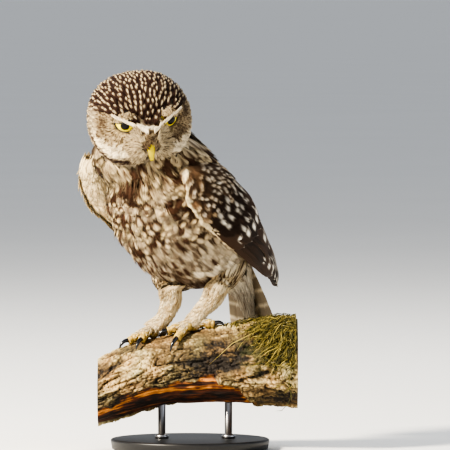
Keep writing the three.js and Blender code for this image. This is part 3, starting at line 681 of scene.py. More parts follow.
# Eyelids
# Thin bare dark-grey rims of skin that lie on the eyeball. The upper one is drawn down flat under
# the brow and slopes to the bill, which gives the stern look.
LID_THICKNESS = 0.9
LID_LIFT = 0.62

lid_parts = []
for side in SIDES.values():
    turn = full_turn(96)[:, None]
    section = full_turn(17)[None, :]
    wide = 0.16 + 0.42 * np.clip(np.sin(turn) + 0.4, 0, 1)
    angle = lid_opening(side, turn) + wide * (1 - np.cos(section))
    size = EYE_RADIUS + LID_LIFT + LID_THICKNESS * (0.25 + 0.7 * np.sin(section))
    rings = eye_centre(side) + size[..., None] * off_axis(gaze(side), angle, turn)
    index = np.arange(angle.size).reshape(angle.shape)
    after, beside = np.roll(index, -1, axis=0), np.roll(index, -1, axis=1)
    quads = np.stack([index, beside, np.roll(after, -1, axis=1), after], axis=-1).reshape(-1, 4)
    lid_parts.append((to_head(rings).reshape(-1, 3), [quads]))
lids = add_piece("eyelid_rims", *joined(lid_parts), srgb("1d1916"), slot="plumage_head")
finish(lids, 0.5, 0.35, bump=0.25, mottle=0.25)

# Bill
# A short, strongly hooked horn bill, bright yellow with a greyer base, painted paler over the top
# and darker underneath as light from above, a shorter lower half under it and round nostrils in the
# swollen cere.
BILL_LENGTH = 20
BILL_COLOURS = [srgb("5c5a10"), srgb("a99400"), srgb("cdbb00")]


def bill_half(upper, rows=40, sides=40):
    """One half of the bill: rings that shrink along a line that bends down to the tip."""
    reach = BILL_LENGTH if upper else BILL_LENGTH * 0.62
    t = np.linspace(0, 1, rows)[:, None]
    turn = full_turn(sides)[None, :]
    bend = t ** 2 * reach * (0.75 if upper else 0.45)
    size = np.sqrt(1 - 0.94 * t) * 1.06
    wide = size * (4.6 if upper else 3.4)
    high = np.where(np.sin(turn) > 0, size * (4.6 if upper else 1.6), size * (1.6 if upper else 2.2))
    ridge = 1 - 0.12 * np.abs(np.cos(turn)) ** 3 * (1 - t)
    y = -27 - reach * 0.62 * np.sin(t * np.pi / 2)
    z = -3 - bend + np.sin(turn) * high - (0 if upper else 4.6 * (1 - 0.4 * t))
    rings = spread(np.cos(turn) * wide * ridge, y, z)
    for side in (SIDES.values() if upper else ()):
        nostril = np.array((side * 4.2, -32.0, -2.2))
        near = np.linalg.norm(rings - nostril, axis=-1)
        rings = rings + (bump(near, 0.9) * 1.1)[..., None] * np.array((-side, 0.4, 0))
    # Each half is painted paler over the top and darker underneath, as painted light from above.
    shade = 0.5 + 0.35 * np.sin(turn) - 0.5 * np.exp(-t / 0.12) + 0.15 * soft_noise(rings, 2, 31)
    return *closed_tube(to_head(rings)), with_ends(blend_colours(BILL_COLOURS, shade))


for name, upper in (("upper", True), ("lower", False)):
    horn = add_piece(f"horn_{name}", *bill_half(upper), slot="bill", replaced=[f"bill_{name}"])
    finish(horn, 0.3, 0.8, bump=0.06, mottle=0.1, Coat_Weight=0.1, Specular_IOR_Level=0.3)

# Body plumage
# Soft contour feathers in overlapping rows. Those of the breast and belly are buff-white with a
# brown middle, and brown patches and long streaks run over them. The back is dark with white spots.
TORSO_WIDTH = 101
TORSO_LENGTH = 132
TORSO_PLACE = np.array((-8.6, 1.3, 175.0))
TORSO_TURN = turned(40, 0)
CAMBER = 1.2
MOST_LOCKS = 12000
PATCH = 0.003
torso_side = profile([[-1, 0.22], [-0.8, 0.56], [-0.45, 0.86], [0, 1], [0.45, 0.97], [0.8, 0.8], [1, 0.52]])
torso_back = profile([[-1, 12], [-0.8, 26], [-0.45, 36], [0, 41], [0.45, 40], [0.8, 33], [1, 22]])
torso_front = profile([[-1, 9], [-0.8, 24], [-0.45, 38], [0, 45], [0.45, 45], [0.8, 36], [1, 22]])
torso_shift = profile([[-1, 15], [-0.8, 9], [-0.45, 2], [0, 0], [0.8, -1], [1, -3]])
skin_roots = []


def mixed(first, second, share):
    """Colours from one web colour at share 0 to another at share 1."""
    return blend_colours([srgb(first), srgb(second)], share)


def rolled_out(low, high):
    """A map for a coat in rings: the turn about the form runs across it, and low to high up it."""
    return lambda u, v: (v / (2 * np.pi) * 0.98 + 0.01, (u - low) / (high - low) * 0.96 + 0.02)


def to_torso(local):
    """From the torso's own axes to the part's."""
    return local @ TORSO_TURN.T + TORSO_PLACE


def torso_surface(down, turn, lift=0.0):
    """The torso's outline: down runs from -1 at the shoulders to 1 at the vent, turn from the back."""
    side = torso_side(-down) * TORSO_WIDTH / 2
    depth = np.where(np.cos(turn) > 0, torso_back(-down), torso_front(-down))
    back = torso_shift(-down) + np.cos(turn) * (depth + lift)
    return to_torso(spread(np.sin(turn) * (side + lift), back, -down * TORSO_LENGTH / 2))


def staggered(rows, turns, spacing, scale, seed):
    """Roots in rows, each row shifted by half a step from the last and a little uneven.

    rows are the places of the rows, turns the range across them, and scale the millimetres in one
    unit across at each row.
    """
    chance = np.random.default_rng(seed)
    step = rows[1] - rows[0]
    along, across = [], []
    for k, row in enumerate(rows):
        count = max(3, int((turns[1] - turns[0]) * scale(row) / spacing))
        place = (np.arange(count) + 0.5 * (k % 2) + chance.uniform(-0.28, 0.28, count)) / count
        across.append(turns[0] + (turns[1] - turns[0]) * place)
        along.append(row + step * chance.uniform(-0.3, 0.3, count))
    return np.concatenate(along), np.concatenate(across)


def feather_tint(a, b, look, who, noise):
    """Colours on a feather: a is the place across it and b along it.

    look gives for each feather its pale and dark colour and how dark its ground, middle streak
    and bars are. A pale spot near the tip takes the dark away.
    """
    def of(key):
        return np.broadcast_to(look.get(key, 0.0), noise.shape[:1])[who][:, None]

    width = np.maximum(of("streak_width"), 0.02)
    dark = of("ground") + of("streak") * np.exp(-(np.abs(a) / width) ** 2.5) * np.clip(b * 3, 0, 1)
    dark = dark + of("bars") * (np.sin(b * of("bar_count") * 2 * np.pi + noise[who][:, None] * 2) > 0)
    dark = np.clip(dark, 0, 1)
    spot = np.exp(-((b - of("spot_place")) / np.maximum(of("spot_long"), 0.02)) ** 4
                  - ((a - of("spot_aside")) / np.maximum(of("spot_wide"), 0.02)) ** 4)
    dark = dark * (1 - of("spot") * spot)
    pale_colour = np.broadcast_to(look["pale"], noise.shape + (3,))[who][:, None]
    dark_colour = np.broadcast_to(look["dark"], noise.shape + (3,))[who][:, None]
    return pale_colour + (dark_colour - pale_colour) * dark[..., None]


def plumage(name, surface, u, v, length, width, locks, lift, look, seed, slot, unwrap, lean=0.0,
            replaced=(), loose=0.3):
    """Feathers that lie along a form towards higher u, each a fan of thin closed barb locks.

    surface(u, v, lift) gives a point on the form. u and v are the roots and lift the height of
    root and tip over the outline, less a camber that grows with the square of the place across.
    lean turns the feathers aside and loose ruffles their tips. unwrap places the roots on the
    coat's own map. Barbs leave the shaft in its lower half and end on a round tip. The pieces of
    a coat hold at most MOST_LOCKS locks each.
    """
    chance = np.random.default_rng(seed)
    count = len(u)
    noise = chance.uniform(0, 1, count)
    length, width = (np.broadcast_to(value, count)[:, None, None] for value in (length, width))
    length = length * chance.uniform(0.88, 1.12, (count, 1, 1))
    lean = np.broadcast_to(lean, count)[:, None, None] + chance.normal(0, 0.07, (count, 1, 1))
    small = 1e-3
    here = surface(u, v, 0 * u)
    scale_u = (np.linalg.norm(surface(u + small, v, 0 * u) - here, axis=-1) / small)[:, None, None]
    scale_v = (np.linalg.norm(surface(u, v + small, 0 * u) - here, axis=-1) / small)[:, None, None]
    lift = [np.broadcast_to(value, count)[:, None, None] for value in lift]
    shift = chance.uniform(-0.8, 0.8, (count, locks)) / locks
    a = np.clip(np.linspace(-1, 1, locks) + shift, -1, 1)[..., None]
    first = 0.03 + 0.42 * (1 - np.abs(a))
    last = 0.7 + 0.3 * np.sqrt(1 - 0.96 * a ** 2) - chance.uniform(0, 0.13, a.shape)
    b = first + (last - first) * STATIONS
    aside = a * np.sin(STATIONS * np.pi / 2) ** 0.8 * width / 2
    uu = u[:, None, None] + length * b / scale_u
    vv = v[:, None, None] + (aside + lean * length * b) / scale_v
    height = lift[0] + (lift[1] - lift[0]) * b - CAMBER * (aside / width) ** 2
    height = height + loose * chance.uniform(-1, 1, a.shape) * STATIONS ** 2
    height = height + 0.25 * chance.uniform(-1, 1, (count, 1, 1))
    path = surface(uu, vv, height).reshape(-1, 4, 3)
    above = unit(surface(uu, vv, height + 1).reshape(-1, 4, 3) - path)
    half = np.broadcast_to(width / locks * 0.62, a.shape).reshape(-1, 1) * np.array([0.7, 1, 0.8, 0]) + 0.05
    points, faces = strands(path, above, half, half * 0.35 + 0.08)
    who = np.repeat(np.arange(count), locks)
    tint = feather_tint(a.reshape(-1, 1) * np.ones(4), b.reshape(-1, 4), look, who, noise)
    tint = tint * chance.uniform(0.88, 1.1, (len(who), 1, 1))
    tint = np.repeat(tint, STATION_POINTS, axis=1)
    within = np.stack([a.reshape(-1, 1) * np.ones(10) * 0.5,
                       np.repeat(b.reshape(-1, 4), STATION_POINTS, axis=1) - 0.5], axis=-1)
    place = np.stack(unwrap(u, v), axis=-1)[who][:, None] + PATCH * within
    middle = np.arange(count) * locks + locks // 2
    skin_roots.append((path[middle, 1], tint.reshape(count, locks, 10, 3)[:, :, 3:].mean(axis=(1, 2))))
    most = MOST_LOCKS // locks * locks
    for number, start in enumerate(range(0, len(path), most)):
        some = slice(start, min(start + most, len(path)))
        shown = some.stop - some.start
        part = [face[:shown * (len(face) // len(path))] for face in faces]
        piece = add_piece(f"{name}_{number + 1}", points[some].reshape(-1, 3), part,
                          tint[some].reshape(-1, 3), slot=slot, replaced=replaced if number == 0 else ())
        bake_map(piece, place[some].reshape(-1, 2))
        finish(piece, 0.75, 0.5, bump=0.05, mottle=0.12, Specular_IOR_Level=0.2)


def bake_map(piece, place):
    """The coat's own map: each vertex's place on an unwrap of the form under it."""
    layer = piece.data.uv_layers.new(name="OFBake")
    corner = np.zeros(len(piece.data.loops), np.int32)
    piece.data.loops.foreach_get("vertex_index", corner)
    layer.data.foreach_set("uv", place[corner].astype(np.float32).ravel())


def in_head(points, margin=0.0):
    """Whether points lie inside the head's outline by more than a margin."""
    local = (points - HEAD_CENTRE) @ HEAD_TURN
    distance = np.linalg.norm(local, axis=-1)
    return distance < head_radius(unit(local)) - margin


def in_torso(points, margin=0.0):
    """Whether points lie inside the torso's outline by more than a margin."""
    x, y, z = np.moveaxis((points - TORSO_PLACE) @ TORSO_TURN, -1, 0)
    s = z / (TORSO_LENGTH / 2)
    y = y - torso_shift(s)
    depth = np.where(y > 0, torso_back(s), torso_front(s))
    across = np.hypot(x / (torso_side(s) * TORSO_WIDTH / 2), y / depth)
    return (across < 1 - margin / 40) & (np.abs(s) < 1 - margin / 66)


down, turn = staggered(np.arange(-0.98, 1.02, 6.4 / 66), (0, 2 * np.pi), 7.0,
                       lambda row: (torso_side(-row) * 50 + torso_front(-row)) / 2, 50)
root = torso_surface(down, turn)
side_turn = np.degrees(np.arcsin(np.sin(turn)))
under_wing = (side_turn > 38) & (side_turn < 84) & (down > -0.72) & (down < 0.75) & (np.cos(turn) > -0.25)
keep = ~in_head(root, 3) & ~under_wing
down, turn = down[keep], turn[keep]
chance = np.random.default_rng(49)
front = np.clip(-np.cos(turn) * 1.4 + 0.35, 0, 1)
lower = np.clip((down + 0.25 + chance.normal(0, 0.12, len(down))) / 0.55, 0, 1)
vent = np.clip((down - 0.75) / 0.25, 0, 1)
flat = spread(turn * 45 + down * 22, down * TORSO_LENGTH / 2, 0)
patches = np.clip(0.62 + 1.7 * soft_noise(flat * (1, 0.6, 1), 6.5, 48), 0, 1)
stripes = np.clip(0.66 + 3.0 * soft_noise(flat * (1, 0.2, 1), 3.9, 43), 0, 1)
breast = (1 - lower) * (0.1 + 0.85 * patches)
belly = lower * (1 - vent) * 0.95 * stripes
look = {
    "pale": mixed("b89f78", "e8dabf", front * (0.45 + 0.55 * lower)),
    "dark": mixed("2c1f16", "40291a", front),
    "ground": (1 - front) * 0.97 + front * (breast + belly),
    "streak": front * (1 - vent * 0.8) * (0.5 + 0.4 * chance.uniform(0, 1, len(down))) * (1 - 0.4 * lower),
    "streak_width": 0.5 - 0.24 * lower,
    "spot": np.where(chance.uniform(0, 1, len(down)) < 0.62 - 0.2 * front, 0.9, 0) * (1 - front * lower),
    "spot_place": 0.76,
    "spot_long": 0.13 + 0.07 * front,
    "spot_wide": chance.uniform(0.3, 0.55, len(down)),
}
plumage("coat_body", torso_surface, down, turn, 19 + 8 * lower, 11.5 + 1.5 * lower, 30, (-3.4, 1.2), look,
        51, "plumage_body", rolled_out(-1, 1), lean=-0.1 * np.sin(turn) - 0.12 * front, replaced=["torso"])

# Neck plumage
# A loose collar of breast and nape feathers that fills the gap between head and shoulders.
NECK_TURN = turned(48, 2)
NECK_ROWS = np.array([(-7, -46, 250, 35, 27), (-8, -41, 240, 42, 31), (-8, -34, 229, 48, 34),
                      (-8, -30, 221, 49, 34), (-8, -23, 211, 47, 33), (-9, -14, 200, 42, 30)], float)
NECK_LENGTH = 50
neck_places = np.linspace(0, 1, len(NECK_ROWS))
neck_curves = [profile(np.stack([neck_places, column], axis=-1)) for column in NECK_ROWS.T]


def over_torso(points, lift):
    """The same points, pushed out to the torso's outline and a lift over it where they lie inside."""
    x, y, z = np.moveaxis((points - TORSO_PLACE) @ TORSO_TURN, -1, 0)
    s = z / (TORSO_LENGTH / 2)
    shift = torso_shift(s)
    depth = np.where(y > shift, torso_back(s), torso_front(s))
    across = np.hypot(x / (torso_side(s) * TORSO_WIDTH / 2), (y - shift) / depth)
    push = np.where(s < 0.97, np.maximum((1 + lift / 42) / np.maximum(across, 0.2), 1), 1)
    return to_torso(np.stack([x * push, shift + (y - shift) * push, z], axis=-1))


def neck_surface(down, turn, lift=0.0):
    """The neck's outline: down runs from 0 under the head to 1 at the shoulders and on over the torso.

    NECK_ROWS hold the middle of each ring and half its width and depth.
    """
    x, y, z, wide, deep = (curve(down) for curve in neck_curves)
    beyond = (down - np.clip(down, 0, 1)) * NECK_LENGTH
    local = spread(np.cos(turn) * (wide + lift), np.sin(turn) * (deep + lift), -beyond)
    return over_torso(local @ NECK_TURN.T + spread(x, y, z), lift)


down, turn = staggered(np.arange(-0.2, 1.35, 5.4 / 50), (0, 2 * np.pi), 6, lambda row: 40, 52)
root = neck_surface(down, turn)
keep = ~in_head(root, 2)
down, turn = down[keep], turn[keep]
chance = np.random.default_rng(47)
front = np.clip(-np.sin(turn) * 1.9, 0, 1)
throat = front * np.clip(1 - down / 0.35, 0, 1)
flat = spread(turn * 42, down * NECK_LENGTH, 0)
patches = np.clip(0.5 + 1.5 * soft_noise(flat * (1, 0.6, 1), 6.5, 41), 0, 1)
look = {
    "pale": mixed("cfbb95", "e6d8bd", throat),
    "dark": mixed("2c1f16", "422c1d", front),
    "ground": np.clip(0.96 - front * (0.9 - 0.8 * patches) - 0.2 * throat, 0, 1),
    "streak": 0.8 * front * (1 - 0.5 * throat),
    "streak_width": 0.6,
    "spot": np.where(chance.uniform(0, 1, len(down)) < 0.6, 0.9, 0),
    "spot_place": 0.77,
    "spot_long": 0.16,
    "spot_wide": 0.3 + 0.15 * front,
}
plumage("coat_neck", neck_surface, down, turn, 15 + 4 * np.clip(down, 0, 1), 10, 26, (-3, 1.2), look, 53,
        "plumage_body", rolled_out(0, 1.4), replaced=["neck"])

# Head plumage
# Small close feathers that run back from the bill over crown, cheeks and nape, dark brown with a
# buff-white fleck each, and a white crescent with a dark collar under the facial discs.
BILL_AXIS = unit(np.array((0, -0.985, -0.17)))
HEAD_UP = np.cross(BILL_AXIS, (1, 0, 0))
CROWN_DROOP = 0.9


def head_direction(back, turn, droop=0.0):
    """A direction at an angle back from the bill, turned about it from the owl's left.

    droop is the angle that the rings tip down by at the back, so that they end under the nape.
    """
    ring = around(turn, np.array((1, 0, 0)), HEAD_UP)
    x, y, z = np.moveaxis(np.cos(back)[..., None] * BILL_AXIS + np.sin(back)[..., None] * ring, -1, 0)
    tip = droop * (1 - np.cos(back)) / 2
    return np.stack([x, y * np.cos(tip) + z * np.sin(tip), z * np.cos(tip) - y * np.sin(tip)], axis=-1)


def on_head(direction, lift):
    """The point of the head's outline in a direction from its middle, lifted off it."""
    return to_head(direction * (head_radius(direction) + lift)[..., None])


def head_surface(back, turn, lift=0.0, droop=0.0):
    """The head's outline: back is the angle from the bill to the nape."""
    return on_head(head_direction(back, turn, droop), lift)


def crown_surface(back, turn, lift=0.0):
    """The head's outline in rings that run down the nape."""
    return head_surface(back, turn, lift, CROWN_DROOP)


def to_face(direction):
    """The angle of a direction from the nearer eye's disc."""
    return np.minimum(angle_to(direction, eye_direction(1)), angle_to(direction, eye_direction(-1)))


def over_brow(direction):
    """How far a direction lies above the line of the brows."""
    line = unit(brow_line(1, np.linspace(0, 1, 20)))
    return direction[:, 2] - np.interp(np.abs(direction[:, 0]), line[:, 0], line[:, 2])


def under_face(direction):
    """1 below the eyes and 0 above them."""
    return np.clip(0.1 - direction @ HEAD_UP, 0, 0.25) / 0.25


back, turn = staggered(np.arange(0.42, 2.98, 3.3 / 37), (0, 2 * np.pi), 4.2,
                       lambda row: 42 * math.sin(row), 54)
direction = head_direction(back, turn, CROWN_DROOP)
root = crown_surface(back, turn)
face = to_face(direction)
keep = ((face > 0.5) | (over_brow(direction) > 0.0)) & ~in_torso(root, 3)
back, turn, direction, face = back[keep], turn[keep], direction[keep], face[keep]
chance = np.random.default_rng(46)
under = under_face(direction)
beside = np.clip(-over_brow(direction) / 0.12, 0, 1) * np.clip((1.15 - face) / 0.2, 0, 1)
crescent = under * np.clip((0.74 - face) / 0.05, 0, 1)
collar = under * np.clip((face - 0.74) / 0.03, 0, 1) * np.clip((0.96 - face) / 0.06, 0, 1)
chin = np.clip(1 - angle_to(direction, (0, -24, -26)) / 0.5, 0, 1)
white = np.clip(crescent - 0.35 * chin, 0, 1)
look = {
    "pale": mixed("d8c6a4", "ecdcbc", white),
    "dark": srgb("35221a"),
    "ground": np.clip(1.0 - white + 0.1 * collar - 0.45 * beside * (1 - collar), 0, 1),
    "streak": 0.5 * beside * (1 - white),
    "streak_width": 0.3,
    "spot": (1 - 0.8 * collar) * (1 - white) * chance.uniform(0.65, 1.05, len(back)),
    "spot_place": chance.uniform(0.68, 0.84, len(back)),
    "spot_long": 0.15,
    "spot_wide": 0.33,
}
plumage("coat_head", crown_surface, back, turn, 9.6, 4.6, 15, (-2.2, 0.9), look, 55, "plumage_head",
        rolled_out(0, np.pi), replaced=["head"], loose=0.25)

# Facial discs
# Stiff, hair-fine feathers that ray out from each eye, greyish white with thin brown barring,
# shorter near the lids and longer at the rim.


def disc_surface(side):
    """The head's outline in rings about one eye: out is the angle from the middle of its disc."""
    def surface(out, turn, lift=0.0):
        return on_head(off_axis(eye_direction(side), out, turn), lift)

    return surface


for name, side in SIDES.items():
    out, turn = staggered(np.arange(0.25, 0.62, 1.9 / 35), (0, 2 * np.pi), 1.9,
                          lambda row: 35 * math.sin(row), 56 + side)
    direction = off_axis(eye_direction(side), out, turn)
    other = angle_to(direction, eye_direction(-side))
    local = direction * head_radius(direction)[:, None]
    on_bill = np.linalg.norm((local - np.array((0, -33.0, -7.0))) * (1, 0.6, 0.7), axis=-1) < 5.6
    keep = (out < other + 0.02) & ~on_bill & (direction[:, 0] * side > -0.02)
    keep = keep & (over_brow(direction) < -0.03)
    out, turn, direction, local = out[keep], turn[keep], direction[keep], local[keep]
    chance = np.random.default_rng(45 + side)
    low = under_face(direction) * np.clip((out - 0.46) / 0.08, 0, 1)
    lores = np.clip(1 - angle_to(direction, (0, -32, -5)) / 0.42, 0, 1)
    smudge = soft_noise(local, 5, 44)
    white = np.clip(low * (1 - lores), 0, 1)
    look = {
        "pale": mixed("bda986", "e9dbbf", white),
        "dark": srgb("4a3829"),
        "ground": np.clip(0.25 + 0.2 * lores + 0.7 * smudge, 0, 0.8) * (1 - white),
        "bars": 0.45 * (1 - white),
        "bar_count": 1.6,
        "streak": 0.8 * chance.uniform(0, 1, len(out)) * (1 - low),
        "streak_width": 0.35,
    }
    plumage(f"coat_disc_{name}", disc_surface(side), out, turn, 3.2 + 6 * out, 2.1, 7, (-1.4, 0.5),
            look, 60 + side, "plumage_head",
            lambda u, v: (0.5 + u * 0.6 * np.cos(v), 0.5 + u * 0.6 * np.sin(v)))

# Brows and bristles
# Tiny buff feathers cover each upper lid. Long white brow feathers sweep up and out from the bill
# over each eye, and fine pale bristles stand round the base of the bill.
LID_FEATHERS = 420
BROW_FEATHERS = 110
BRISTLES = 300
BROW_DROP = 0.045


def lid_surface(side):
    """A ball over the eye in rings about its gaze: out is the angle from the gaze."""
    def surface(out, turn, lift=0.0):
        radius = EYE_RADIUS + 1.5 + lift
        return to_head(eye_centre(side) + off_axis(gaze(side), out, turn) * radius[..., None])

    return surface


for name, side in SIDES.items():
    chance = np.random.default_rng(66 + side)
    turn = chance.uniform(-0.1, math.pi + 0.1, LID_FEATHERS)
    out = lid_opening(side, turn) + 0.06 + chance.uniform(0, 1, LID_FEATHERS) ** 0.8 * 0.6
    look = {"pale": srgb("cdb994"), "dark": srgb("3f2d20"), "ground": chance.uniform(0.2, 0.9, LID_FEATHERS)}
    plumage(f"coat_lid_{name}", lid_surface(side), out, turn, 2.8, 1.3, 5, (-0.4, 0.3), look, 68 + side,
            "plumage_head", lambda u, v: (v / (2 * np.pi) % 1 * 0.98 + 0.01, u / 2), loose=0.2)

for name, side in SIDES.items():
    chance = np.random.default_rng(70 + side)
    t = np.linspace(-0.05, 0.95, BROW_FEATHERS) + chance.uniform(-0.01, 0.01, BROW_FEATHERS)
    scatter = chance.normal(0, 0.005, (BROW_FEATHERS, 3))
    direction = unit(brow_line(side, t) + scatter - np.array((0, 0, BROW_DROP)))
    back = np.arccos(np.clip(direction @ BILL_AXIS, -1, 1))
    turn = np.arctan2(direction @ HEAD_UP, direction[:, 0])
    look = {"pale": srgb("eadcc0"), "dark": srgb("6d5a46"), "streak": 0.7 * t, "streak_width": 0.25}
    plumage(f"coat_brow_{name}", head_surface, back, turn, 5.5, 1.0, 6, (0.4, 1.9), look, 72 + side,
            "plumage_head", lambda u, v: (v / (2 * np.pi) % 1 * 0.98 + 0.01, u / np.pi), loose=0.5)

chance = np.random.default_rng(75)
turn = np.concatenate([chance.uniform(-1.2, 1.0, BRISTLES // 2),
                       chance.uniform(math.pi - 1.0, math.pi + 1.2, BRISTLES // 2)])
back = chance.uniform(0.16, 0.42, BRISTLES)
look = {"pale": srgb("cbb896"), "dark": srgb("3a2a1e"), "ground": 0.35 * chance.uniform(0, 1, BRISTLES),
        "streak": chance.uniform(0, 0.9, BRISTLES), "streak_width": 0.4}
plumage("coat_bristles", head_surface, back, turn, 7, 1.8, 5, (0.4, 2.4), look, 76,
        "plumage_head", lambda u, v: (v / (2 * np.pi) % 1 * 0.98 + 0.01, u), loose=0.8)

# Leg plumage
# Full, soft thigh feathers and short dense hair-like feathers down each shank to the toes, white
# with a buff tinge and a few brown streaks at the top.
SHANK_RADIUS = 6.4
SHANK_LENGTH = 30
TOE_FEATHERS = 90
# fade is how strong the brown streaks are at the top of the limb, and how fast they fade down it.
LEG_COATS = {
    "thigh": {"first": 0.0, "spacing": 4.2, "radius": 17, "length": 18, "width": 7.98, "locks": 18,
              "lift": (-1.6, 0.9), "loose": 0.5, "fade": (1.7, 1.5)},
    "shank": {"first": -0.2, "spacing": 1.7, "radius": 7, "length": 8, "width": 2.4, "locks": 5,
              "lift": (-1.0, 0.5), "loose": 0.25, "fade": (0.3, 1)},
}


def limb_surface(path, radii, up=(0, 0, 1)):
    """A round limb about a path: down runs from 0 at its top to 1 at its foot."""
    path = smooth_path(path, 60)
    side, over = square_to(unit(np.gradient(path, axis=0)), up)
    places = np.linspace(0, 1, len(path))
    radius = profile(np.stack([np.linspace(0, 1, len(radii)), radii], axis=-1))

    def surface(down, turn, lift=0.0):
        at = np.clip(down, 0, 1)
        middle, right, top = (np.stack([np.interp(at, places, part[:, k]) for k in range(3)], axis=-1)
                              for part in (path, side, over))
        beyond = (down - at)[..., None] * np.linalg.norm(path[-1] - path[0]) * unit(path[-1] - path[-4])
        return middle + beyond + around(turn, right, top) * (radius(at) + lift)[..., None]

    return surface


def clear_of_torso(surface, down, turn, margin):
    """The roots on a surface that don't lie inside the torso by more than a margin."""
    keep = ~in_torso(surface(down, turn), margin)
    return down[keep], turn[keep]


shank_surfaces, thigh_surfaces = {}, {}
for name, leg in LEGS.items():
    hip = to_torso(np.array(leg["hip"], float))
    heel = PERCH_TURN @ np.array(leg["shank"][0])
    knee = (hip + heel) / 2 + np.array(leg["knee"])
    thigh_surfaces[name] = limb_surface([hip, knee, heel], [22, 21, 18, 14, 10.5, 8.2], up=(1, 0, 0))
    ankle = [PERCH_TURN @ np.array(point) for point in leg["shank"]] + [bark_point(*leg["foot"], 7)]
    shank_radii = SHANK_RADIUS * np.array([1.38, 1.35, 1.16, 1, 0.96, 1.05])
    shank_surfaces[name] = limb_surface(ankle, shank_radii, up=(1, 0, 0))
    for part, surface, span in (("thigh", thigh_surfaces[name], np.linalg.norm(hip - heel)),
                                ("shank", shank_surfaces[name], SHANK_LENGTH)):
        coat = LEG_COATS[part]
        down, turn = staggered(np.arange(coat["first"], 1.0, coat["spacing"] / span), (0, 2 * np.pi),
                               coat["spacing"], lambda row: coat["radius"], 80)
        down, turn = clear_of_torso(surface, down, turn, 3)
        high = np.clip(coat["fade"][0] - down * coat["fade"][1], 0, 1)
        chance = np.random.default_rng(81)
        flat = spread(turn * coat["radius"], down * span * 0.25, 0)
        stripes = np.clip(2 * soft_noise(flat, 3.4, 42), 0, 1)
        look = {
            "pale": mixed("bea67c", "e2d3b4", chance.uniform(0, 1, len(down))),
            "dark": srgb("44301f"),
            "ground": 0.12 * chance.uniform(0, 1, len(down)) + (0.12 + 0.75 * high) * stripes,
            "streak": 0.8 * high + 0.15,
            "streak_width": 0.3,
        }
        length = np.maximum(np.minimum(coat["length"], span * (1.04 - down)), 5)
        plumage(f"coat_{part}_{name}", surface, down, turn, length, coat["width"], coat["locks"],
                coat["lift"], look, 82, "plumage_leg", rolled_out(0, 1), replaced=[f"{part}_{name}"],
                loose=coat["loose"])

    chance = np.random.default_rng(83)
    for toe, (heading, reach) in leg["toes"].items():
        bones = toe_line(leg, heading, reach)[0]
        toe_surface = limb_surface(bones, TOE_RADIUS * np.array([1.3, 1.15, 1.1, 1.05]))
        down = chance.uniform(0, 0.72, TOE_FEATHERS) ** 1.3
        turn = chance.normal(math.pi / 2, 0.75, TOE_FEATHERS)
        look = {"pale": srgb("ddceb0"), "dark": srgb("8a7350"),
                "streak": chance.uniform(0, 0.8, TOE_FEATHERS), "streak_width": 0.5}
        plumage(f"coat_toe_{name}_{toe}", toe_surface, down, turn, 4.5, 1.3, 3, (-0.1, 0.7), look, 84,
                "plumage_leg", lambda u, v: (v / (2 * np.pi) % 1 * 0.98 + 0.01, u * 0.96 + 0.02))

# Wing plumage
# The folded wing: small coverts at the bend, middle and great coverts over the roots of the
# flight feathers, all dark brown with white spots, and a cream edge along the front.
mantle_height = profile([[0, 62], [0.15, 43], [0.35, 10], [0.55, -25], [0.75, -60], [0.9, -86], [1, -104]])
mantle_back = profile([[0, -8], [0.15, -4], [0.35, 2], [0.55, 10], [0.75, 22], [0.9, 32], [1, 38]])
mantle_side = profile([[0, 42], [0.15, 52], [0.35, 56], [0.55, 50], [0.75, 36], [0.9, 22], [1, 12]])
mantle_depth = profile([[0, 28], [0.15, 40], [0.35, 44], [0.55, 38], [0.75, 26], [0.9, 15], [1, 8]])
mantle_top = profile([[0, 48], [0.1, 24], [0.3, 11], [0.6, 7], [1, 5]])
mantle_low = profile([[0, 80], [0.08, 106], [0.2, 117], [0.4, 116], [0.6, 108], [0.8, 96], [1, 80]])
WING_BROWN = {"pale": srgb("e9e0cf"), "dark": srgb("2b1d14")}
WING_TOP = 0.002
RIGHT_WING_OUT = 6
RIGHT_WING_LIFT = 14


def wing_surface(side):
    """The wing's outline: down runs from the shoulder to the tip, over from its back edge to its front."""
    def local(down, over, lift=0.0):
        turn = np.radians(mantle_top(down) + (mantle_low(down) - mantle_top(down)) * over)
        return spread((mantle_side(down) + lift) * np.sin(turn),
                      mantle_back(down) + (mantle_depth(down) + lift) * np.cos(turn), mantle_height(down))

    tip = local(np.array(1.0), np.array(0.5))

    def surface(down, over, lift=0.0):
        point = local(down, over, lift)
        if side < 0:
            point = (point - tip) @ turned(RIGHT_WING_OUT, 1).T + tip + np.array((0, 0, RIGHT_WING_LIFT))
            point = point * np.array((-1, 1, 1))
        return to_torso(point)

    return surface


def wing_across(down):
    """Millimetres from the back edge of the wing to the front edge."""
    return np.radians(mantle_low(down) - mantle_top(down)) * (mantle_side(down) + mantle_depth(down)) / 2


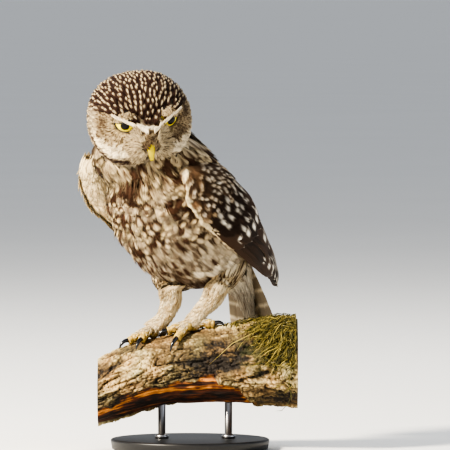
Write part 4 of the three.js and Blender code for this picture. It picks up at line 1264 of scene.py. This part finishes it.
for name, side in SIDES.items():
    surface = wing_surface(side)
    for tier, rows, over_range, spacing, length, width, locks, spotted, lift in (
            ("edge", np.arange(0.0, 0.5, 0.02), (0.965, 1.01), 1.5, 7, 2.2, 7, 0.0, (-0.6, 1.1)),
            ("small", np.arange(0.0, 0.25, 0.026), (0.0, 0.97), 4.8, 13, 6.6, 16, 0.8, (-0.6, 3.2)),
            ("middle", np.arange(0.19, 0.34, 0.05), (0.02, 0.95), 8, 22, 12, 28, 0.8, (0.2, 3.8))):
        down, over = staggered(rows, over_range, spacing, wing_across, 90 + side)
        down = np.maximum(down, WING_TOP)
        cream = np.clip((over - 0.95) / 0.02, 0, 1) if side > 0 else np.clip((over - 0.70) / 0.15, 0, 1)
        count = len(down)
        chance = np.random.default_rng(91)
        buff = (tier == "small") * (0.3 + 0.7 * over[:, None]) * chance.uniform(0.2, 1, (count, 1))
        pale = WING_BROWN["pale"] + (srgb("c9ad80") - WING_BROWN["pale"]) * buff
        look = {
            "pale": pale + (srgb("dfcda8") - pale) * cream[:, None],
            "dark": WING_BROWN["dark"] + (srgb("644c36") - WING_BROWN["dark"]) * buff,
            "ground": 1 - cream * chance.uniform(0.7, 1, count),
            "spot": np.where(chance.uniform(0, 1, count) < spotted, chance.uniform(0.7, 1.0, count), 0),
            "spot_place": 0.78,
            "spot_long": 0.12,
            "spot_wide": 0.34 if tier == "middle" else 0.42,
            "spot_aside": -0.3 * side * (tier == "middle"),
        }
        plumage(f"coat_wing_{name}_{tier}", surface, down, over, length, width, locks, lift, look, 92 + side,
                "plumage_wing", lambda u, v: (v * 0.8 + 0.1, u * 0.9 + 0.05),
                replaced=[f"wing_{name}"] if tier == "edge" else ())

# Lining of the lifted wing
# The right wing hangs a little loose, so the soft cream-buff lining under its front edge shows
# as a rounded pale lobe beside the breast.
loose_wing = wing_surface(-1)
lobe_places = np.array([-0.02, 0.06, 0.16, 0.28, 0.40, 0.52])
lobe_depths = np.array([8.0, 10.0, 11.0, 10.5, 8.0, 5.0])
lobe_path = loose_wing(lobe_places, 0.86, -lobe_depths)
lobe_surface = limb_surface(lobe_path, lobe_depths, up=(1, 0, 0))
down, turn = staggered(np.arange(0.0, 0.98, 4.6 / 85), (0, 2 * np.pi), 4.6, lambda row: 10, 97)
down, turn = clear_of_torso(lobe_surface, down, turn, 2)
chance = np.random.default_rng(98)
look = {
    "pale": mixed("e9d9b6", "b8935e", (0.2 + 0.8 * down) * chance.uniform(0.2, 1, len(down))),
    "dark": srgb("8d6f4c"),
    "ground": 0.1 * chance.uniform(0, 1, len(down)),
    "streak": 0.3 * (chance.uniform(0, 1, len(down)) < 0.3),
    "streak_width": 0.3,
}
plumage("coat_wing_lining", lobe_surface, down, turn, 15, 8, 20, (-1.6, 0.9), look, 99, "plumage_wing",
        rolled_out(0, 1), loose=0.5)

# Flight feathers
# Stiff vanes that lie on one another like a closed fan: great coverts, secondaries and primaries.
# Each has a raised shaft, a rounded tip and a row of white spots on its outer web.
VANE_ROWS = 34
VANE_COLUMNS = 15
VANE_THICKNESS = 0.3
VANE_TILT = 8
LINING_SHARE = 0.35
TIP_TWIST = 2.0
vane_outline = profile([[0, 0.5], [0.25, 0.85], [0.6, 1], [0.85, 0.86], [0.95, 0.6], [1, 0.12]])


def vane_grid(middle, normal, width, tilt, pattern, seed):
    """One closed vane: a thin curved sheet about a middle line, with its colours.

    Its points are middle + across * half width, with a little noise on the edges, swept back
    towards the tip and raised along the normal by the tilt, a slight camber and the shaft's
    ridge. LINING_SHARE is how far its underside pales to buff.
    """
    t = np.linspace(0, 1, VANE_ROWS)[:, None]
    c = np.linspace(-1, 1, VANE_COLUMNS)[None, :]
    along = unit(np.gradient(middle, axis=0))
    across = unit(np.cross(along, normal))
    half = width / 2 * vane_outline(t)
    notch = 0.25 * soft_noise(spread(t * 16, c * 3, seed * 1.7), 1, 40) * np.abs(c) ** 3
    reach = c * half + notch
    back = -0.20 * width * np.abs(c) ** 1.8 * t ** 3
    raised = math.tan(tilt) * c * half - 0.35 * c ** 2 + 0.45 * np.exp(-(c / 0.09) ** 2)
    sheet = (middle[:, None] + across[:, None] * reach[..., None] + normal[:, None] * raised[..., None]
             + along[:, None] * back[..., None])
    under = sheet - normal[:, None] * VANE_THICKNESS
    points, faces = closed_tube(np.concatenate([sheet, under[:, ::-1]], axis=1))
    tint = pattern(t, c)
    lining = tint[:, ::-1] * (1 - LINING_SHARE) + srgb("d6c7ab") * LINING_SHARE
    tint = np.concatenate([tint, lining], axis=1).reshape(-1, 3)
    return points, faces, np.concatenate([tint, tint[:1], tint[-1:]])


def wing_pattern(seed, outer, first, spots):
    """Dark brown with white spots in a row along the outer web, and a thin pale tip and outer edge."""
    def pattern(t, c):
        beat = (t - first) * spots
        cell = beat - np.floor(beat) - 0.5
        white = np.exp(-(cell / 0.2) ** 4 - ((c * outer - 0.45) / 0.3) ** 4) * (beat > 0)
        rim = np.clip((c * outer - 0.88) / 0.06, 0, 1) * np.clip((t - first) / 0.1, 0, 1)
        white = np.clip(white + 0.6 * np.clip((t - 0.975) / 0.02, 0, 1) + 0.45 * rim, 0, 1)
        brown = mixed("21170f", "3f2d20", 0.45 + 0.4 * np.sin(seed) + 0.5 * (np.abs(c) > 0.8) * t)
        return brown + (WING_BROWN["pale"] - brown) * white[..., None]

    return pattern


def vane_pieces(name, vanes, slot, replaced=()):
    """Joins vanes into one piece, each on its own cell of the coat's map."""
    points, faces = joined([vane[:2] for vane in vanes])
    tint = np.concatenate([vane[2] for vane in vanes])
    piece = add_piece(name, points, faces, tint, slot=slot, replaced=replaced)
    cells = math.ceil(math.sqrt(len(vanes)))
    t = np.repeat(np.linspace(0, 1, VANE_ROWS), 2 * VANE_COLUMNS)
    columns = np.linspace(0, 0.48, VANE_COLUMNS)
    c = np.tile(np.concatenate([columns, columns + 0.52]), VANE_ROWS)
    one = np.stack([np.append(c, [0.5, 0.5]), np.append(t, [0, 1])], axis=-1) * 0.92 + 0.04
    number = np.arange(len(vanes))
    cell = np.stack([number % cells, number // cells], axis=-1)
    bake_map(piece, ((one[None] + cell[:, None]) / cells).reshape(-1, 2))
    finish(piece, 0.65, 0.35, bump=0.12, mottle=0.12, Specular_IOR_Level=0.15)


# Each tier's roots and tips down the wing, the places of its first and last root and tip across
# it, the lift of root and tip, the width, and where its spots begin and how many there are.
TIERS = [
    ("primaries", 0.42, [0.88, 0.93, 0.97, 1, 0.99, 0.97, 0.94, 0.91],
     (0.93, 0.56), (0.93, 0.40), (-1, 0.2), 13, 0.62, 7),
    ("secondaries", 0.38, [0.84, 0.83, 0.82, 0.80, 0.79, 0.77, 0.75, 0.72, 0.69],
     (0.66, 0.06), (0.62, 0.06), (-0.5, 1.8), 15, 0.48, 5),
    ("great", 0.28, [0.53, 0.54, 0.55, 0.55, 0.54, 0.53, 0.52, 0.50, 0.48],
     (0.92, 0.08), (0.92, 0.07), (-0.4, 3.2), 14, 0.66, 3.2),
]
for name, side in SIDES.items():
    surface = wing_surface(side)
    for tier, root_down, tips, root_over, tip_over, lift, width, first, spots in TIERS:
        vanes = []
        for i, tip in enumerate(tips):
            share = i / (len(tips) - 1)
            t = np.linspace(0, 1, VANE_ROWS)
            down = root_down + (tip - root_down) * t
            start = root_over[0] + (root_over[1] - root_over[0]) * share
            end = tip_over[0] + (tip_over[1] - tip_over[0]) * share
            over = start + (end - start) * t * (2 - t)
            height = lift[0] + (lift[1] - lift[0]) * t + 0.12 * i
            middle = surface(down, over, height)
            normal = unit(surface(down, over, height + 1) - middle)
            if tier == "primaries":
                outwards = TORSO_TURN @ np.array((side, -0.35, 0))
                normal = unit(normal + TIP_TWIST * t[:, None] ** 3 * outwards)
            tilt = math.radians(-side * VANE_TILT)
            pattern = wing_pattern(1.3 * i + 2 * side, -side, first, spots)
            vanes.append(vane_grid(middle, normal, width, tilt, pattern, i + 10 * side))
        vane_pieces(f"vanes_{tier}_{name}", vanes, "plumage_wing")

# Tail
# Twelve short, round-tipped feathers in a nearly closed fan, brown with pale cross bars, the
# middle pair on top, and a fluffy pale root below them.
TAIL_ROOT = np.array((0, 37, -58.0))
TAIL_DROP = math.radians(19)
TAIL_LENGTH = 78
TAIL_FEATHERS = 12
TAIL_FAN = 2.6


def tail_pattern(seed):
    """Brown with four or five narrow pale bars and a pale tip."""
    def pattern(t, c):
        beat = (t - 0.28) * 6.5 + 0.12 * np.abs(c)
        cell = np.abs(beat - np.floor(beat) - 0.5)
        pale = np.clip((cell - 0.36) / 0.05, 0, 1) * (t > 0.25) + np.clip((t - 0.97) / 0.02, 0, 1)
        brown = mixed("3f2d20", "5f4733", 0.5 + 0.4 * np.sin(seed))
        return brown + (srgb("dccbae") - brown) * np.clip(pale, 0, 1)[..., None]

    return pattern


vanes = []
for i, index in enumerate(np.linspace(-4.5, 4.5, TAIL_FEATHERS)):
    fan = math.radians(index * TAIL_FAN)
    down = math.cos(fan) * np.array((0, math.sin(TAIL_DROP), math.cos(TAIL_DROP)))
    along = np.array((math.sin(fan), 0, 0)) - down
    normal = np.array((0, math.cos(TAIL_DROP), -math.sin(TAIL_DROP)))
    reach = TAIL_LENGTH + 12 - 0.35 * index * index
    t = np.linspace(0, 1, VANE_ROWS)[:, None]
    bow = normal * (0.8 * abs(index) + 1.5 * t ** 2)
    middle = TAIL_ROOT + np.array((1.1 * index, 0, 0)) + along * reach * t - bow
    normals = np.repeat((TORSO_TURN @ normal)[None], VANE_ROWS, axis=0)
    tilt = math.radians(-7 if index > 0 else 7)
    vanes.append(vane_grid(to_torso(middle), normals, 13, tilt, tail_pattern(i * 1.7), i + 3))
vane_pieces("vanes_tail", vanes, "plumage_tail", replaced=["tail"])

vent_path = to_torso(np.array([(0, 16, -46), (0, 21, -68), (0, 18, -90), (0, 11, -110)], float))
vent_surface = limb_surface(vent_path, [17, 16, 14, 11, 8, 5, 3], up=(1, 0, 0))
down, turn = staggered(np.arange(0.05, 0.95, 4.2 / 64), (0, 2 * np.pi), 4.2,
                       lambda row: 12 * (1.15 - row), 95)
down, turn = clear_of_torso(vent_surface, down, turn, 2)
chance = np.random.default_rng(94)
# The vent fluff is painted browner towards its underside, as painted shade, by a random share for each
# feather.
shade = chance.uniform(0, 1, len(down)) * np.clip(0.4 + np.cos(turn), 0, 1)
look = {"pale": srgb("e9ddc6"), "dark": srgb("6b4e36"), "ground": 0.5 * shade, "streak": 0.4,
        "streak_width": 0.2}
plumage("coat_vent", vent_surface, down, turn, 17, 6, 14, (-1.5, 1.2), look, 96, "plumage_body",
        rolled_out(0, 1), loose=1.2)

# Skin and down
# One closed skin under all the feathers, from the head through neck and trunk to the wing arms
# and legs. It is matt down that takes the colour of the feathers rooted over it, a quarter darker
# as painted shade in the gaps between them.
SKIN_DEPTH = 3.6
SKIN_CELL = 1.4


def ring_body(surface, start, stop, rows, sides, depth):
    """A closed form a little inside a surface of rings."""
    down, turn = np.meshgrid(np.linspace(start, stop, rows), full_turn(sides), indexing="ij")
    return closed_tube(surface(down, turn, 0 * down - depth))


def arm_body(side):
    """The wing's arm: a flat ring of outer and inner points at each row down the wing."""
    thickness = profile([[0, 5], [0.06, 11], [0.2, 10], [0.4, 7], [0.52, 3]])
    down = np.linspace(0.01, 0.5, 24)[:, None]
    out = np.linspace(0.06, 0.94, 20)[None, :]
    padding = 0 if side > 0 else 5
    surface = wing_surface(side)
    outer = surface(down, out, -1.6)
    inner = surface(down, out[:, ::-1], -0.6 - thickness(down) - padding)
    return closed_tube(np.concatenate([outer, inner], axis=1))


parts = [ring_body(torso_surface, -0.97, 0.97, 50, 72, SKIN_DEPTH),
         ring_body(neck_surface, 0, 1, 24, 64, 3.2),
         ring_body(head_surface, 0.02, math.pi - 0.02, 60, 84, 2.4),
         ring_body(vent_surface, 0.0, 0.8, 20, 24, 2.0)]
for name, side in SIDES.items():
    parts.append(ring_body(thigh_surfaces[name], 0.02, 1, 24, 32, 2.0))
    parts.append(ring_body(shank_surfaces[name], 0.0, 1, 24, 24, 1.2))
    parts.append(arm_body(side))
rough = add_piece("skin_rough", *joined(parts))
remesh = rough.modifiers.new("Remesh", "REMESH")
remesh.mode = "VOXEL"
remesh.voxel_size = SKIN_CELL * MM
smooth = rough.modifiers.new("Smooth", "SMOOTH")
smooth.iterations = 6
bpy.context.view_layer.update()
whole = bpy.data.meshes.new_from_object(rough.evaluated_get(bpy.context.evaluated_depsgraph_get()))
corners = np.zeros(len(whole.loops), np.int32)
whole.loops.foreach_get("vertex_index", corners)
points = np.zeros(len(whole.vertices) * 3)
whole.vertices.foreach_get("co", points)
points = points.reshape(-1, 3) / MM
bpy.data.objects.remove(rough)
for side in SIDES.values():
    away = points - to_head(eye_centre(side))
    distance = np.linalg.norm(away, axis=-1)
    inside = distance < EYE_RADIUS + 1.2
    sunk = away[inside] * (EYE_RADIUS * 0.9 / distance[inside])[:, None]
    points[inside] = to_head(eye_centre(side)) + sunk
roots, colours = (np.concatenate(part) for part in zip(*skin_roots))
nearest = np.concatenate([np.argmin(((roots ** 2).sum(axis=1) - 2 * some @ roots.T), axis=1)
                          for some in np.array_split(points, 1 + len(points) // 2000)])
# The down is a quarter darker than the feathers over it, as painted shade in the gaps between them.
skin = add_piece("skin_down", points, [corners.reshape(-1, 4)], colours[nearest] * 0.75, slot="plumage_body")
finish(skin, 0.9, 0.6, bump=0.4, mottle=0.25)

# Floor, light and camera
# A wide plain pale floor, a big warm soft light from the left, a cool weak one from the right and
# a pale sky, seen by a long lens at the height of the branch.
VIEW_AZIMUTH = math.radians(42)
VIEW_ELEVATION = math.radians(2.2)
VIEW_DISTANCE = 5.0
FRAME_WIDTH = 0.351
SENSOR = 36
FLOOR_HALF = 200
FLOOR_DROP = 0.0005
right = Vector((math.cos(VIEW_AZIMUTH), math.sin(VIEW_AZIMUTH), 0))
toward = Vector((math.sin(VIEW_AZIMUTH), -math.cos(VIEW_AZIMUTH), 0))
target = right * 0.0273 + Vector((0, 0, 0.1747))

floor_mesh = bpy.data.meshes.new("floor")
floor_corners = [(x * FLOOR_HALF, y * FLOOR_HALF, 0) for x, y in ((-1, -1), (1, -1), (1, 1), (-1, 1))]
floor_mesh.from_pydata(floor_corners, [], [(0, 1, 2, 3)])
floor = bpy.data.objects.new("floor", floor_mesh)
bpy.context.scene.collection.objects.link(floor)
floor.location.z = -FLOOR_DROP
finish(floor, 0.9, 400, bump=0.0, mottle=0.01, colour=(0.8, 0.8, 0.79))

world = bpy.data.worlds.new("sky")
world.use_nodes = True
background = world.node_tree.nodes["Background"]
background.inputs["Color"].default_value = (0.86, 0.9, 0.96, 1)
background.inputs["Strength"].default_value = 0.5
bpy.context.scene.world = world


def soft_light(name, place, size, power, colour):
    """A square area light that faces the owl."""
    lamp = bpy.data.lights.new(name, "AREA")
    lamp.size = size
    lamp.energy = power
    lamp.color = colour
    light = bpy.data.objects.new(name, lamp)
    light.location = place
    light.rotation_euler = (target - light.location).to_track_quat("-Z", "Y").to_euler()
    bpy.context.scene.collection.objects.link(light)


soft_light("key", target - right * 1.8 + toward * 1.2 + Vector((0, 0, 1.2)), 0.4, 190, (1, 0.9, 0.74))
soft_light("fill", target + right * 2.0 + toward * 1.0 + Vector((0, 0, 0.6)), 1.6, 10, (0.86, 0.92, 1))
soft_light("top", target - toward * 1.2 + Vector((0, 0, 2.0)), 1.4, 30, (1, 0.98, 0.94))

lens = bpy.data.cameras.new("camera")
lens.sensor_width = SENSOR
lens.lens = SENSOR * VIEW_DISTANCE / FRAME_WIDTH
lens.clip_end = 1000
camera = bpy.data.objects.new("camera", lens)
outwards = toward * math.cos(VIEW_ELEVATION) + Vector((0, 0, math.sin(VIEW_ELEVATION)))
camera.location = target + outwards * VIEW_DISTANCE
camera.rotation_euler = (target - camera.location).to_track_quat("-Z", "Y").to_euler()
bpy.context.scene.collection.objects.link(camera)
bpy.context.scene.camera = camera
bpy.context.scene.view_settings.look = "AgX - High Contrast"

bpy.context.view_layer.update()
